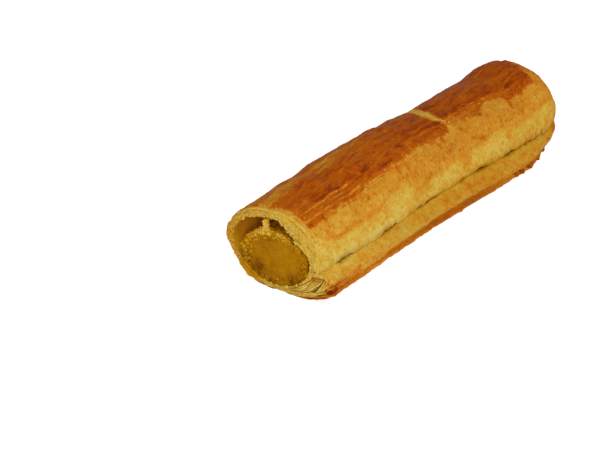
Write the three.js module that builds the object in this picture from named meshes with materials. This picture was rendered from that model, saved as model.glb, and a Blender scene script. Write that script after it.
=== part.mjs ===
// A long puff pastry roll with a firm paste filling. One end is cut across, and the other is folded
// shut. The pastry is one wall wrapped round the filling: its lower edge laps up one side as a thick
// lip, with a seam above it, and the roof has baked clear of the filling.
//
// Units are millimetres. +X runs along the roll from the cut end to the shut end, and +Z is up.
// The lapped lip lies along the -Y side, and the roll stands on the flat of its base at z = 0.
// Sections are drawn as the cut end is seen from outside: u runs to the right, towards the lip,
// and z up. Section angles are in degrees, from the lip side over the top.

import * as THREE from "three";

// ---- Driving dimensions ----

const rollLength = 228;
const bow = 1.8; // how far the middle of the roll bends away from the lip
const body = { width: 56.4, height: 47.6, centreU: -1.5, flatDepth: 0.8 };
const swells = [
  { rise: -2.6, at: 0, run: 24 }, // pressed down by the knife
  { rise: 1.4, at: 64, run: 24 },
  { rise: -1.4, at: 146, run: 22 },
  { rise: 1.9, at: rollLength - 12, run: 18 },
];
const wrinkle = { height: 0.4, perMm: 0.09, perDegree: 0.05 };
const farDent = { depth: 2, angle: 206, halfWidth: 15, runs: 34 }; // low on the far side, at the cut

const lip = { reach: 29.5, footStart: 13, footRise: 1.4, shoulder: 17.6, waver: 0.35 };
const lipWaist = { depth: 1.1, at: 98, run: 42 }; // the lip thins in the middle of the roll
const lipFlare = { reach: 1.1, rise: 3, runs: 12 }; // its leaves fan out and up at the cut
const baseSheet = { thickness: 2.6, groove: 1.3 };
const seam = { depth: 4.2, mouth: 0.75, shutShare: 0.35, opensBy: 12 };

const shutEnd = { rounding: 12, squareness: 2.7, height: 18 };
const shutEndCrease = { depth: 2.2, halfHeight: 3.2 };
// the lip rises and wraps round the corner, and its low edge is drawn in and lifted
const shutEndLip = { climbsFrom: 20, climb: 8.5, rounds: 2.6, lost: 0.8 };
const shutEndFoot = { fadesFrom: 36, lost: 8, lift: 3.2 };

const filling = { width: 40, height: 30.4, centreU: -0.4, bottom: 4, reach: 214, roughness: 0.3 };
const fillingTaper = { from: 150, share: 0.05 };
const roofGap = { most: 7.8, angle: 138, lipSpread: 88, farSpread: 70, clearance: 0.4 };
const roofGapFade = { from: 40, to: 150, left: 0.12 };
// a thin strand of paste drawn up to the roof, leaning towards the lip
const strand = { angle: 106, halfWidth: 5, runs: 5, reach: 0.94, lean: 0.2 };

const knife = { slant: 0.12, fadesBy: 55 }; // mm further back for each mm across
const cutFace = { crumb: 0.45, leafStep: 0.7, leaves: 4, lipLeafStep: 1.1, hollow: 0.5 };
const brokenLeaf = { back: 5.2, thickness: 0.9, from: 12, to: 88, ragged: 0.9 };

const finishes = {
  pastry: { color: 0xc07a24, roughness: 0.45, metalness: 0 },
  filling: { color: 0xa8761a, roughness: 0.7, metalness: 0 },
};

// ---- Mesh counts ----

const segments = { roof: 44, base: 5, foot: 3, face: 6, seam: 6 };
const ringCount = Object.values(segments).reduce((sum, n) => sum + n);
const roofStart = -6; // degrees, just above the seam
const roofEnd = 251; // degrees, where the roof's curve meets the base
const stations = {
  cavity: [1.6, 4, 8, 14, 22, ...steps(34, filling.reach + 0.6, 11)],
  wall: [1.6, 3.2, 4.6, 6, 8.5, 12, 17, ...steps(23, rollLength - shutEnd.rounding, 30)],
  shutEndTurns: steps(0, 0.5 * Math.PI, 8).slice(1, -1),
  filling: [0.7, 2, 4, 6.5, 9.5, 13, 17, 24, ...steps(36, filling.reach - 3, 11)],
  fillingFace: [0.3, 0.6, 0.8, 0.92],
};

// ---- Small helpers ----

function radians(degrees) {
  return THREE.MathUtils.degToRad(degrees);
}

function smooth(x, from, to) {
  return THREE.MathUtils.smoothstep(x, from, to);
}

function mix(a, b, share) {
  return THREE.MathUtils.lerp(a, b, share);
}

// A bell-shaped hump, 1 high.
function hump(x, centre, halfWidth) {
  return Math.exp(-(((x - centre) / halfWidth) ** 2));
}

// Evenly spaced values, both ends included.
function steps(from, to, count) {
  return Array.from({ length: count + 1 }, (_, i) => mix(from, to, i / count));
}

// A repeatable unevenness between -1 and 1: three waves that never quite line up.
function uneven(a, b, phase = 0) {
  return (
    0.5 * Math.sin(a + 2.3 * b + phase) +
    0.3 * Math.sin(2.7 * a - 1.9 * b + 1.7 * phase + 1.1) +
    0.2 * Math.sin(5.3 * a + 4.1 * b + 2.9 * phase + 2.6)
  );
}

function onEllipse(centreU, centreZ, halfWidth, halfHeight, degrees) {
  return new THREE.Vector2(
    centreU + halfWidth * Math.cos(radians(degrees)),
    centreZ + halfHeight * Math.sin(radians(degrees)),
  );
}

// Skins a row of closed rings, all with the same count of points, from one pole to the other.
function loft(startPole, rings, endPole) {
  const count = rings[0].length;
  const points = [startPole, ...rings.flat(), endPole];
  const last = points.length - 1;
  const at = (ring, i) => 1 + ring * count + (i % count);
  const faces = [];
  for (let i = 0; i < count; i++) faces.push(0, at(0, i), at(0, i + 1));
  for (let ring = 0; ring < rings.length - 1; ring++)
    for (let i = 0; i < count; i++) {
      faces.push(at(ring, i), at(ring + 1, i), at(ring + 1, i + 1));
      faces.push(at(ring, i), at(ring + 1, i + 1), at(ring, i + 1));
    }
  for (let i = 0; i < count; i++)
    faces.push(last, at(rings.length - 1, i + 1), at(rings.length - 1, i));
  const geometry = new THREE.BufferGeometry().setFromPoints(points).setIndex(faces);
  geometry.computeVertexNormals();
  return geometry;
}

// The knife went through at a slant: the cut lies further back towards the lip.
function cutBack(u) {
  return knife.slant * (u + body.width / 2);
}

// Places section points at a station along the roll. The sections turn with the cut near that end,
// and the whole roll bends in a slight bow.
function place(x, outline) {
  const turned = 1 - smooth(x, 0, knife.fadesBy);
  const sideways = bow * Math.sin((Math.PI * x) / rollLength);
  return outline.map((p) => new THREE.Vector3(x + cutBack(p.x) * turned, sideways - p.x, p.y));
}

// ---- The outside of the pastry ----

function swell(x) {
  return swells.reduce((sum, { rise, at, run }) => sum + rise * hump(x, at, run), 0);
}

// The crust's top leaf has broken off in a ragged bite beside the cut.
function brokenAway(x, degrees) {
  const across =
    smooth(degrees, brokenLeaf.from, brokenLeaf.from + 14) *
    (1 - smooth(degrees, brokenLeaf.to - 20, brokenLeaf.to));
  const edge = brokenLeaf.back * across + brokenLeaf.ragged * uneven(0.17 * degrees, 0, 4);
  return brokenLeaf.thickness * across * (1 - smooth(x, edge - 0.5, edge + 0.5));
}

// The top and far wall, from the seam over the top to the base. Where the lip climbs, the wall above
// it starts higher up.
function roofOutline(x) {
  const halfWidth = (body.width + 0.5 * swell(x)) / 2;
  const halfHeight = (body.height + body.flatDepth) / 2;
  const lifted = THREE.MathUtils.radToDeg(lipClimb(x) / (body.height / 2));
  return steps(roofStart, roofEnd, segments.roof).map((degrees) => {
    const turn = radians(degrees + lifted * (1 - smooth(degrees, roofStart, 50)));
    const out = new THREE.Vector2(Math.cos(turn), Math.sin(turn));
    const rise = Math.max(0, out.y);
    const waves = uneven(wrinkle.perMm * x, wrinkle.perDegree * degrees) * mix(0.4, 1, rise);
    const p = new THREE.Vector2(
      body.centreU + halfWidth * out.x,
      halfHeight - body.flatDepth + halfHeight * out.y,
    );
    const dent = farDent.depth * hump(degrees, farDent.angle, farDent.halfWidth);
    const pressedIn = dent * (1 - smooth(x, 0, farDent.runs));
    p.addScaledVector(out, wrinkle.height * waves - brokenAway(x, degrees) - pressedIn);
    p.y = Math.max(0, p.y + swell(x) * rise);
    return p;
  });
}

// The share of the flare that is left at a station.
function flared(x) {
  return 1 - smooth(x, 0, lipFlare.runs);
}

// The share of the shut end's draw on the lip's foot.
function endward(x) {
  return smooth(x, rollLength - shutEndFoot.fadesFrom, rollLength - 4);
}

// How far the lip stands out: it flares at the cut and thins in the middle.
function lipReach(x) {
  const lost = shutEndLip.lost * endward(x);
  const thinned = lipWaist.depth * hump(x, lipWaist.at, lipWaist.run);
  const even = lip.reach + lipFlare.reach * flared(x) - thinned - lost;
  return even + lip.waver * uneven(0.16 * x, 0, 1);
}

// How much higher the lip reaches as it wraps round the shut end.
function lipClimb(x) {
  return shutEndLip.climb * smooth(x, rollLength - shutEndLip.climbsFrom, rollLength - 2) ** 1.3;
}

// The height of the lip's upper edge, where the seam lies.
function lipShoulder(x) {
  return lip.shoulder + lipClimb(x) + 0.5 * uneven(0.05 * x, 0, 2);
}

// The seam is baked nearly shut at the cut.
function seamDepth(x) {
  const open = mix(seam.shutShare, 1, smooth(x, 0, seam.opensBy));
  return seam.depth * open * (1 + 0.15 * uneven(0.2 * x, 0, 3));
}

// The base, the lip's foot and face, and the seam, from the roof's end back to the roof's start.
function lipOutline(x, roofFirst, roofLast) {
  const reach = lipReach(x);
  const shoulder = lipShoulder(x);
  const footRise = lip.footRise + lipFlare.rise * flared(x) + shutEndFoot.lift * endward(x);
  const groove = footRise + baseSheet.thickness;
  const depth = seamDepth(x);
  const drawn = shutEndFoot.lost * endward(x);
  const rounds = shutEndLip.rounds * smooth(x, rollLength - 24, rollLength - 4);
  const base = steps(roofLast.x, lip.footStart, segments.base).map((u) => [u, 0]);
  // the foot lifts off the flat in a shallow curve
  const foot = steps(0, 1, segments.foot).map((share) => [
    mix(lip.footStart, reach - 0.8 - drawn, share),
    footRise * share ** 2,
  ]);
  // the base sheet's edge, a groove over it, then the lip's side, which leans in as it climbs
  const face = [
    [reach - 0.85 * drawn, footRise + 1.2],
    [reach - 0.2 - 0.65 * drawn, groove - 0.5],
    [reach - baseSheet.groove - 0.6 * drawn, groove],
    [reach - 0.1 - 0.45 * drawn, groove + 1.3],
    [reach - 0.5 - 0.3 * rounds, mix(groove, shoulder, 0.55)],
    [reach - 1.3 - 0.7 * rounds, shoulder - 2.3],
  ];
  // over the lip's top edge and down into the seam, then out along the wall above it
  const crack = [
    [reach - 2.4 - rounds, shoulder - 0.7],
    [roofFirst.x - 0.35 * depth, shoulder - 0.75],
    [roofFirst.x - 0.8 * depth, shoulder - 1.5],
    [roofFirst.x - depth, shoulder - 1.6],
    [roofFirst.x - 0.55 * depth, shoulder - 0.55],
  ];
  const outline = [...base.slice(1), ...foot.slice(1), ...face, ...crack];
  return outline.map(([u, z]) => new THREE.Vector2(u, z));
}

// One full outer section: roof, base, lip and seam.
function outerOutline(x) {
  const roof = roofOutline(x);
  roof[0].y = lipShoulder(x) + seam.mouth;
  return [...roof, ...lipOutline(x, roof[0], roof[roof.length - 1])];
}

// At the shut end the section closes on a point at mid height, slowly first and then all at once.
// A crease carries the seam's line across the end.
function shutEndRing(turn) {
  const power = 2 / shutEnd.squareness;
  const x = rollLength - shutEnd.rounding * (1 - Math.sin(turn) ** power);
  const shrink = Math.cos(turn) ** power;
  const pole = new THREE.Vector2(body.centreU, shutEnd.height);
  const outline = outerOutline(x).map((p) => p.sub(pole).multiplyScalar(shrink).add(pole));
  return place(x, outline).map((p) => {
    const near = hump(p.z, shutEnd.height, shutEndCrease.halfHeight);
    p.x -= shutEndCrease.depth * (1 - shrink) * near;
    return p;
  });
}

// ---- The cavity and the filling ----

// The gap between filling and pastry: widest under the roof at the cut, and closing along the roll.
function gapAt(x, degrees) {
  const turned = ((degrees - roofGap.angle + 540) % 360) - 180;
  const spread = turned > 0 ? roofGap.farSpread : roofGap.lipSpread;
  const across = Math.max(0, 1 - (turned / spread) ** 2);
  const along = mix(1, roofGapFade.left, smooth(x, roofGapFade.from, roofGapFade.to));
  return roofGap.most * across * along;
}

const fillingMiddle = filling.bottom + filling.height / 2;

// The filling's section, grown by a distance that depends on the angle.
function fillingOutline(x, grow, angles) {
  const taper = 1 - fillingTaper.share * smooth(x, fillingTaper.from, filling.reach);
  const halfWidth = (filling.width / 2) * taper;
  const halfHeight = filling.height / 2;
  return angles.map((degrees) => {
    const p = onEllipse(filling.centreU, fillingMiddle, halfWidth, halfHeight, degrees);
    const out = new THREE.Vector2(
      Math.cos(radians(degrees)) / halfWidth,
      Math.sin(radians(degrees)) / halfHeight,
    );
    return p.addScaledVector(out.normalize(), grow(degrees));
  });
}

// The cavity follows the filling, a clearance away, with the roof's gap added.
function cavityRing(x) {
  const angles = Array.from({ length: ringCount }, (_, i) => roofStart + (360 * i) / ringCount);
  return place(x, fillingOutline(x, (degrees) => roofGap.clearance + gapAt(x, degrees), angles));
}

// ---- The pastry ----

// The cut wall, from the cavity outwards: its leaves step in and out, most where the lip joins.
function cutRings() {
  const outer = place(0, outerOutline(0));
  const inner = cavityRing(0);
  const lipCorner = ringCount - segments.seam - 4;
  return steps(0, 1, cutFace.leaves).map((share, leaf) =>
    inner.map((p, i) => {
      const step = cutFace.leafStep + cutFace.lipLeafStep * hump(i, lipCorner, 7);
      const q = p.clone().lerp(outer[i], share);
      q.x += (leaf % 2) * step + cutFace.crumb * uneven(0.9 * i, 1.3 * leaf);
      return q;
    }),
  );
}

function pastryGeometry() {
  const cavity = stations.cavity.map(cavityRing).reverse();
  const wall = stations.wall.map((x) => place(x, outerOutline(x)));
  const shut = stations.shutEndTurns.map(shutEndRing);
  const cavityPole = new THREE.Vector3(filling.reach + 1.6, -filling.centreU, fillingMiddle);
  const shutPole = new THREE.Vector3(rollLength - shutEndCrease.depth, 0, shutEnd.height);
  return loft(cavityPole, [...cavity, ...cutRings(), ...wall, ...shut], shutPole);
}

// ---- The filling ----

// The height of the strand of paste beside the cut.
function strandHeight(x, degrees) {
  const across = Math.abs(degrees - strand.angle) / strand.halfWidth;
  const end = strand.runs * (1 + 0.15 * uneven(x, degrees));
  const along = 1 - smooth(x, 0.35 * strand.runs, end);
  return strand.reach * gapAt(x, degrees) * Math.exp(-(across ** 1.6)) * along;
}

// Section angles, close together across the strand.
function fillingAngles() {
  const from = strand.angle - 10;
  const to = strand.angle + 10;
  return [...steps(from, to, 12), ...steps(to, from + 360, 42).slice(1, -1)];
}

function fillingRing(x, shrink = 1) {
  const grow = (degrees) =>
    filling.roughness * (uneven(0.31 * x, 0.12 * degrees, 5) - 1) + strandHeight(x, degrees);
  const middle = new THREE.Vector2(filling.centreU, fillingMiddle);
  const angles = fillingAngles();
  const outline = fillingOutline(x, grow, angles).map((p, i) => {
    p.x += strand.lean * strandHeight(x, angles[i]);
    return p.sub(middle).multiplyScalar(shrink).add(middle);
  });
  return place(x, outline);
}

function fillingGeometry() {
  // the cut face: a crumbled rim round a smoother, slightly sunken middle
  const face = stations.fillingFace.map((share) =>
    fillingRing(0, share).map((p, i) => {
      const crumb = cutFace.crumb * share ** 3 * uneven(0.8 * i, 6 * share, 3);
      p.x += cutFace.crumb + cutFace.hollow * (1 - share) + crumb;
      return p;
    }),
  );
  const sides = stations.filling.map((x) => fillingRing(x));
  const end = [fillingRing(filling.reach - 0.8, 0.86), fillingRing(filling.reach, 0.5)];
  const sunk = cutBack(filling.centreU) + cutFace.crumb + cutFace.hollow;
  return loft(
    new THREE.Vector3(sunk, -filling.centreU, fillingMiddle),
    [...face, ...sides, ...end],
    new THREE.Vector3(filling.reach, -filling.centreU, fillingMiddle),
  );
}

// ---- The roll ----

function piece(name, geometry, finish) {
  const mesh = new THREE.Mesh(geometry, new THREE.MeshStandardMaterial(finish));
  mesh.name = name;
  return mesh;
}

const roll = new THREE.Group();
roll.add(piece("pastry", pastryGeometry(), finishes.pastry));
roll.add(piece("filling", fillingGeometry(), finishes.filling));

// The part's origin is under the middle of the roll, on the surface that it stands on.
const extent = new THREE.Box3().setFromObject(roll);
roll.position.set(-(extent.min.x + extent.max.x) / 2, -(extent.min.y + extent.max.y) / 2, -extent.min.z);

export default roll;
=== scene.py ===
# A long puff pastry roll with a paste filling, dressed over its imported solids.
# Sizes are in millimetres until a mesh is made. x runs along the roll from the cut end, u to the
# right across the cut as it is looked at, and z up, as in the part's own sections. g is the way round
# the crust in mm, upwards from the seam, and below nought on the lip.
# A tone is how brown a point has baked: nought is pale dough and one is dark brown. In grain and
# layers the third value is a seed, and in layers a fourth is the number of octaves.

import math

import bpy
import numpy as np
from mathutils import Matrix, Vector


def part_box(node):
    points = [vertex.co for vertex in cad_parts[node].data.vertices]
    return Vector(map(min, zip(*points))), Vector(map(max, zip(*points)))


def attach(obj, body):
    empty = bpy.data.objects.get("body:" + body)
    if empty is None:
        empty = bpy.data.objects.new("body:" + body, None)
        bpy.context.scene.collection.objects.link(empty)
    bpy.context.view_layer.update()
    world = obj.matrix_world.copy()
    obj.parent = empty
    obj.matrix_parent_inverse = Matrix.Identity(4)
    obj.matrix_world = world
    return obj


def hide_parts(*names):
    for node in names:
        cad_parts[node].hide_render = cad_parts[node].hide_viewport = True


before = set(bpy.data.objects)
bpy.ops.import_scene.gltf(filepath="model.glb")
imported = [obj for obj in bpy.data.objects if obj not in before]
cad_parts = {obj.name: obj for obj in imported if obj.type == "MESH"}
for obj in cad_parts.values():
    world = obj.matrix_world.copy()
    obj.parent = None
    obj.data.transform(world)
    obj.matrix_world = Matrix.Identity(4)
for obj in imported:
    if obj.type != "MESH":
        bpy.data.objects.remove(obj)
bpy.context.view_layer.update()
mm = 0.001  # in the frame's metres
print("frame loaded:", ", ".join(sorted(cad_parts)))


# Small helpers for shapes

def smooth(x, low, high):
    t = np.clip((np.asarray(x, float) - low) / (high - low), 0, 1)
    return t * t * (3 - 2 * t)


def fade(x, low, high):
    return 1 - smooth(x, low, high)


def mix(a, b, share):
    return a + (b - a) * share


def hump(x, centre, halfWidth):
    return np.exp(-(((x - centre) / halfWidth) ** 2))


def band(x, low, high, soft):
    return smooth(x, low - soft, low + soft) * fade(x, high - soft, high + soft)


def uneven(a, b, phase=0.0):
    # the same slow waves as in the solids
    return (
        0.5 * np.sin(a + 2.3 * b + phase)
        + 0.3 * np.sin(2.7 * a - 1.9 * b + 1.7 * phase + 1.1)
        + 0.2 * np.sin(5.3 * a + 4.1 * b + 2.9 * phase + 2.6)
    )


def lattice(i, j, seed):
    h = (i * 374761393 + j * 668265263 + seed * 362437) & 0xFFFFFFFF
    h = ((h ^ (h >> 13)) * 1274126177) & 0xFFFFFFFF
    return ((h ^ (h >> 16)) & 0xFFFF) / 32767.5 - 1


def grain(a, b, seed=0):
    # smooth random values between -1 and 1, one for each unit square
    a, b = np.broadcast_arrays(np.asarray(a, float), np.asarray(b, float))
    i, j = np.floor(a).astype(np.int64), np.floor(b).astype(np.int64)
    fa, fb = smooth(a - i, 0, 1), smooth(b - j, 0, 1)
    low = mix(lattice(i, j, seed), lattice(i + 1, j, seed), fa)
    high = mix(lattice(i, j + 1, seed), lattice(i + 1, j + 1, seed), fa)
    return mix(low, high, fb)


def layers(a, b, seed=0, octaves=3):
    waves = sum(0.5 ** k * grain(a * 2 ** k, b * 2 ** k, seed + 17 * k) for k in range(octaves))
    return waves / sum(0.5 ** k for k in range(octaves))


def through(points, x):
    # a line through given points, rounded a little
    px, py = zip(*points)
    return (np.interp(x - 1, px, py) + np.interp(x, px, py) + np.interp(x + 1, px, py)) / 3


# The roll's own sizes

roll = {
    "length": 228.0,
    "bow": 1.8,
    "middleY": -0.445,  # the bow line's place across the frame
    "width": 56.4,
    "height": 47.6,
    "centreU": -1.5,
    "flatDepth": 0.8,
    "swells": (  # rise, at, run: the four of the solids, the first a little less, then smaller ones
        (-1.9, 0, 24), (1.4, 64, 24), (-1.4, 146, 22), (1.9, 216, 18), (-1.4, 46, 9), (1.2, 88, 15),
        (-0.5, 166, 8), (1.0, 205, 12), (0.5, 122, 6), (-0.4, 28, 5), (-0.9, 190, 13), (0.4, 36, 4),
        (-0.6, 79, 6), (0.5, 97, 6), (1.5, 108, 3.4), (-0.3, 117, 3), (-1.1, 198, 6),
    ),
    "wrinkle": 0.4,
    "farDent": {"depth": 2.0, "angle": 206, "halfWidth": 15, "runs": 34},
    "crumbledRim": 0.75,
    "rimFlare": {"out": 0.9, "angle": 174, "halfWidth": 22, "runs": 9},
    "crumbledBase": 1.8,
    "knifeSlant": 0.12,
    "knifeFadesBy": 55,
}
filling = {
    "width": 40.0,
    "height": 30.4,
    "centreU": -0.4,
    "bottom": 4.0,
    "reach": 214.0,
    "roughness": 0.3,
    "bulge": {"out": 0.9, "angle": 12, "halfWidth": 18},  # on the lip's side
    "taperFrom": 150,
    "taper": 0.05,
}
roofGap = {"most": 7.8, "angle": 138, "lipSpread": 88, "farSpread": 70, "clearance": 0.4,
           "byStrand": {"most": 1.6, "angle": 88, "halfWidth": 14, "runs": 16}}
roofGapFade = {"from": 40, "to": 150, "left": 0.12}
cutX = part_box("filling")[1].x / mm - filling["reach"]  # where the roll's own x = 0 lies


def swell(x):
    return sum(rise * hump(x, at, run) for rise, at, run in roll["swells"])


def cutBack(u):
    return roll["knifeSlant"] * (u + roll["width"] / 2)


def place(x, u, z):
    # section points to the frame, still in millimetres
    turned = fade(x, 0, roll["knifeFadesBy"])
    sideways = roll["bow"] * np.sin(np.pi * x / roll["length"])
    along = x + cutBack(u) * turned
    return np.stack(np.broadcast_arrays(along + cutX, sideways - u + roll["middleY"], z), -1)


# The crust's outline at each station

lip = {"reach": 29.5, "footStart": 13.0, "footRise": 1.4, "shoulder": 17.6, "waver": 0.35}
lipWaist = {"depth": 1.1, "at": 98, "run": 42}
lipFlare = {"reach": 1.1, "rise": 3.0, "runs": 12}
baseSheet = {"thickness": 2.6, "groove": 1.3, "openGroove": 3.4, "openTo": 13, "closedBy": 19, "ragged": 0.4}
seam = {
    "depth": 4.2,
    "mouth": 1.35,
    "joinedTo": 12.5,
    "openFrom": 18.0,
    "openTo": 201,
    "joinedFrom": 207,
    "rise": (
        (0, 0), (14, 0.3), (24, -0.4), (40, -0.3), (56, -0.7), (64, -0.5), (70, 0.3), (84, 0.5), (90, 1.3),
        (105, 1.7), (112, 1.0), (125, 0.7), (136, 1.0), (150, 1.3), (156, 0.3), (170, 0.1), (200, 0.3),
        (228, 0),
    ),
    "openAt": (  # x, half length, how far open
        (21, 3.5, 1.0), (29, 3, 0.7), (64, 6, 1.0), (71, 2, 0.5), (92, 3, 0.7), (101, 4, 1.0),
        (107, 2, 0.5), (132, 3, 0.5), (150, 5, 1.0), (177, 5, 0.9), (186.5, 1.2, 0.7), (192, 1.2, 0.8),
        (196.5, 1.2, 0.7), (202.5, 1.6, 0.9), (210, 3, 0.5),
    ),
}
shutEnd = {
    "rounding": 12,
    "squareness": 3.0,
    "height": 18,
    "creaseDepth": 2.2,
    "creaseHalfHeight": 3.2,
    "lipLost": 0.8,
    "footLost": 8.0,
    "footLift": 3.2,
    "footFadesFrom": 36,
    "lipClimbsFrom": 20,
    "lipClimb": 8.5,
    "lipRounds": 2.6,
    "rows": 19,
}
brokenLeaf = {"back": 5.2, "thickness": 0.8, "from": 12, "to": 150, "ragged": 0.5}
columns = {
    "roofSeen": 150,
    "roofFar": 34,
    "base": 8,
    "foot": 9,
    "lip": (3, 3, 3, 4, 13, 8, 5, 7, 4, 3, 4, 3),  # points between the lip's corners, upwards
}
roofStart, roofFarFrom, roofEnd = -6.0, 172.0, 251.0  # degrees

roofDegrees = np.concatenate([
    np.linspace(roofStart, roofFarFrom, columns["roofSeen"], endpoint=False),
    np.linspace(roofFarFrom, roofEnd, columns["roofFar"]),
])


def lipClimb(x):
    # at the shut end the lip rises and wraps round the corner
    climbsFrom = roll["length"] - shutEnd["lipClimbsFrom"]
    return shutEnd["lipClimb"] * smooth(x, climbsFrom, roll["length"] - 2) ** 1.3


def leafEdge(degrees):
    # how far behind the cut the top leaf has broken away
    leaf = brokenLeaf
    across = smooth(degrees, leaf["from"], leaf["from"] + 14)
    across = across * mix(1, 0.62, smooth(degrees, 80, 100)) * fade(degrees, leaf["to"] - 20, leaf["to"])
    ragged = uneven(0.17 * degrees, 0, 4) + layers(0.16 * degrees, 3.1, 5)
    return leaf["back"] * across + leaf["ragged"] * ragged


def brokenAway(x, degrees):
    across = band(degrees, brokenLeaf["from"] + 4, brokenLeaf["to"] - 10, 8)
    edge = leafEdge(degrees)
    return brokenLeaf["thickness"] * across * fade(x, edge - 0.4, edge + 0.4)


def roofSection(x):
    lift = np.degrees(lipClimb(x) / (roll["height"] / 2)) * fade(roofDegrees, roofStart, 50)
    turn = np.radians(roofDegrees + lift)
    halfWidth = (roll["width"] + 0.5 * swell(x)) / 2
    halfHeight = (roll["height"] + roll["flatDepth"]) / 2
    rise = np.maximum(0, np.sin(turn))
    waves = uneven(0.09 * x, 0.05 * roofDegrees) * mix(0.4, 1, rise)
    dent, flare = roll["farDent"], roll["rimFlare"]
    pressed = dent["depth"] * hump(roofDegrees, dent["angle"], dent["halfWidth"]) * fade(x, 0, dent["runs"])
    flared = flare["out"] * hump(roofDegrees, flare["angle"], flare["halfWidth"]) * fade(x, 1, flare["runs"])
    crumbled = layers(roofDegrees / 5, x / 2.5, 51, 3) * fade(x, 1.5, 7) * smooth(roofDegrees, 130, 160)
    out = roll["wrinkle"] * waves + flared - brokenAway(x, roofDegrees) - pressed
    out = out + roll["crumbledRim"] * crumbled
    u = roll["centreU"] + (halfWidth + out) * np.cos(turn)
    z = halfHeight - roll["flatDepth"] + (halfHeight + out) * np.sin(turn)
    return u, np.maximum(0, z + swell(x) * rise)


def seamOpen(x):
    return np.minimum(1, sum(wide * hump(x, at, half) for at, half, wide in seam["openAt"]))


def lipCorners(x, roofFirstU):
    # the lip's corners from the foot's end up its face, then over its top and into the seam
    flared = fade(x, 0, lipFlare["runs"])
    endward = smooth(x, roll["length"] - shutEnd["footFadesFrom"], roll["length"] - 4)
    thinned = lipWaist["depth"] * hump(x, lipWaist["at"], lipWaist["run"])
    reach = lip["reach"] + lipFlare["reach"] * flared - thinned - shutEnd["lipLost"] * endward
    reach += lip["waver"] * uneven(0.16 * x, 0, 1)
    shoulder = lip["shoulder"] + lipClimb(x) + 0.5 * uneven(0.05 * x, 0, 2)
    footRise = lip["footRise"] + lipFlare["rise"] * flared + shutEnd["footLift"] * endward
    groove = footRise + baseSheet["thickness"]
    ajar = fade(x, baseSheet["openTo"], baseSheet["closedBy"])
    grooveDepth = mix(baseSheet["groove"], baseSheet["openGroove"], ajar)
    opened = float(seamOpen(x))
    depth = seam["depth"] * mix(0.1, 1, opened) * (1 + 0.15 * uneven(0.2 * x, 0, 3))
    mouth = seam["mouth"] * mix(0.14, max(0.2, 1 + 1.3 * layers(x / 1.7, 1.5, 7, 2)), opened)
    shoulder = shoulder + through(seam["rise"], x) + 0.6 * layers(x / 2.6, 2.5, 8, 3) * smooth(x, 4, 14)
    rounds = shutEnd["lipRounds"] * smooth(x, roll["length"] - 24, roll["length"] - 4)
    top = np.array((reach - 2.4 - rounds, shoulder - 0.7))
    last = np.array((roofFirstU, shoulder + mouth))
    steep = mix(0.15, 1, opened)
    into = np.array([
        (last[0] - 0.35 * depth, shoulder - 0.75 * steep),
        (last[0] - 0.8 * depth, shoulder - 1.5 * steep),
        (last[0] - depth, shoulder - 1.6 * steep),
        (last[0] - 0.55 * depth, shoulder - 0.45 * steep),
    ])
    # by the cut and near the shut end the lip has baked on
    joinedByCut = 0.97 * fade(x, seam["joinedTo"], seam["openFrom"])
    joined = max(joinedByCut, 0.95 * smooth(x, seam["openTo"], seam["joinedFrom"]))
    over = top + (last - top) * np.array([[0.25], [0.5], [0.7], [0.85]])
    over[:, 1] += 0.25
    into = mix(into, over, joined)
    foot = shutEnd["footLost"] * endward  # the low edge is drawn in towards the shut end
    foot = foot + baseSheet["ragged"] * layers(x / 1.7, 3.3, 52, 3)
    return np.array([
        (reach - 0.8 - foot, footRise),
        (reach - 0.85 * foot, footRise + 1.2),
        (reach - 0.2 - 0.65 * foot, groove - 0.5 - 0.5 * ajar),
        (reach - grooveDepth - 0.6 * foot, groove),
        (reach - 0.1 - 0.45 * foot, groove + 1.3 + 0.5 * ajar),
        (reach - 0.5 - 0.3 * rounds, mix(groove, shoulder, 0.55)),
        (reach - 1.3 - 0.7 * rounds, shoulder - 2.3),
        top,
        *into,
        last,
    ])


def outerSection(x):
    roofU, roofZ = roofSection(x)
    corners = lipCorners(x, roofU[0])
    roofZ[0] = corners[-1, 1]  # the roof starts where the seam ends
    baseU = np.linspace(roofU[-1], lip["footStart"], columns["base"] + 1)[1:]
    share = np.linspace(0, 1, columns["foot"] + 1)[1:]
    footU = mix(lip["footStart"], corners[0, 0], share)
    footZ = corners[0, 1] * share ** 2
    parts = []
    for count, a, b in zip(columns["lip"], corners[:-1], corners[1:]):
        t = np.linspace(0, 1, count + 1)[1:, None]
        parts.append(a + (b - a) * t)
    face = np.concatenate(parts)[:-1]
    for _ in range(2):  # rounds the corners
        face[1:-1] = (face[:-2] + 2 * face[1:-1] + face[2:]) / 4
    u = np.concatenate([roofU, baseU, footU, face[:, 0]])
    z = np.concatenate([roofZ, 0 * baseU, footZ, face[:, 1]])
    crumbled = np.maximum(0, layers(u / 1.6, x / 2, 53, 3)) * fade(x, 0.6, 4) * fade(z, 1, 4)
    return u, z + roll["crumbledBase"] * crumbled


columnCount = len(outerSection(100.0)[0])
roofCount = len(roofDegrees)
lipFirst = roofCount + columns["base"] + columns["foot"]  # the column of the lip's lowest edge

# Girth in mm, upwards from the seam over the roof and round under the base to the seam again.
middleU, middleZ = outerSection(100.0)
middleZ[0] -= through(seam["rise"], 100.0)
stepsRound = np.hypot(np.diff(middleU), np.diff(middleZ))
girth = np.concatenate([[0], np.cumsum(stepsRound)])
girthAll = girth[-1] + np.hypot(middleU[0] - middleU[-1], middleZ[0] - middleZ[-1])
onRoof = np.arange(columnCount) < roofCount
columnDegrees = np.concatenate([roofDegrees, np.zeros(columnCount - roofCount)])
aboveSeam = np.where(onRoof, girth, girth - girthAll)  # below the seam it counts down from nought

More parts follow.
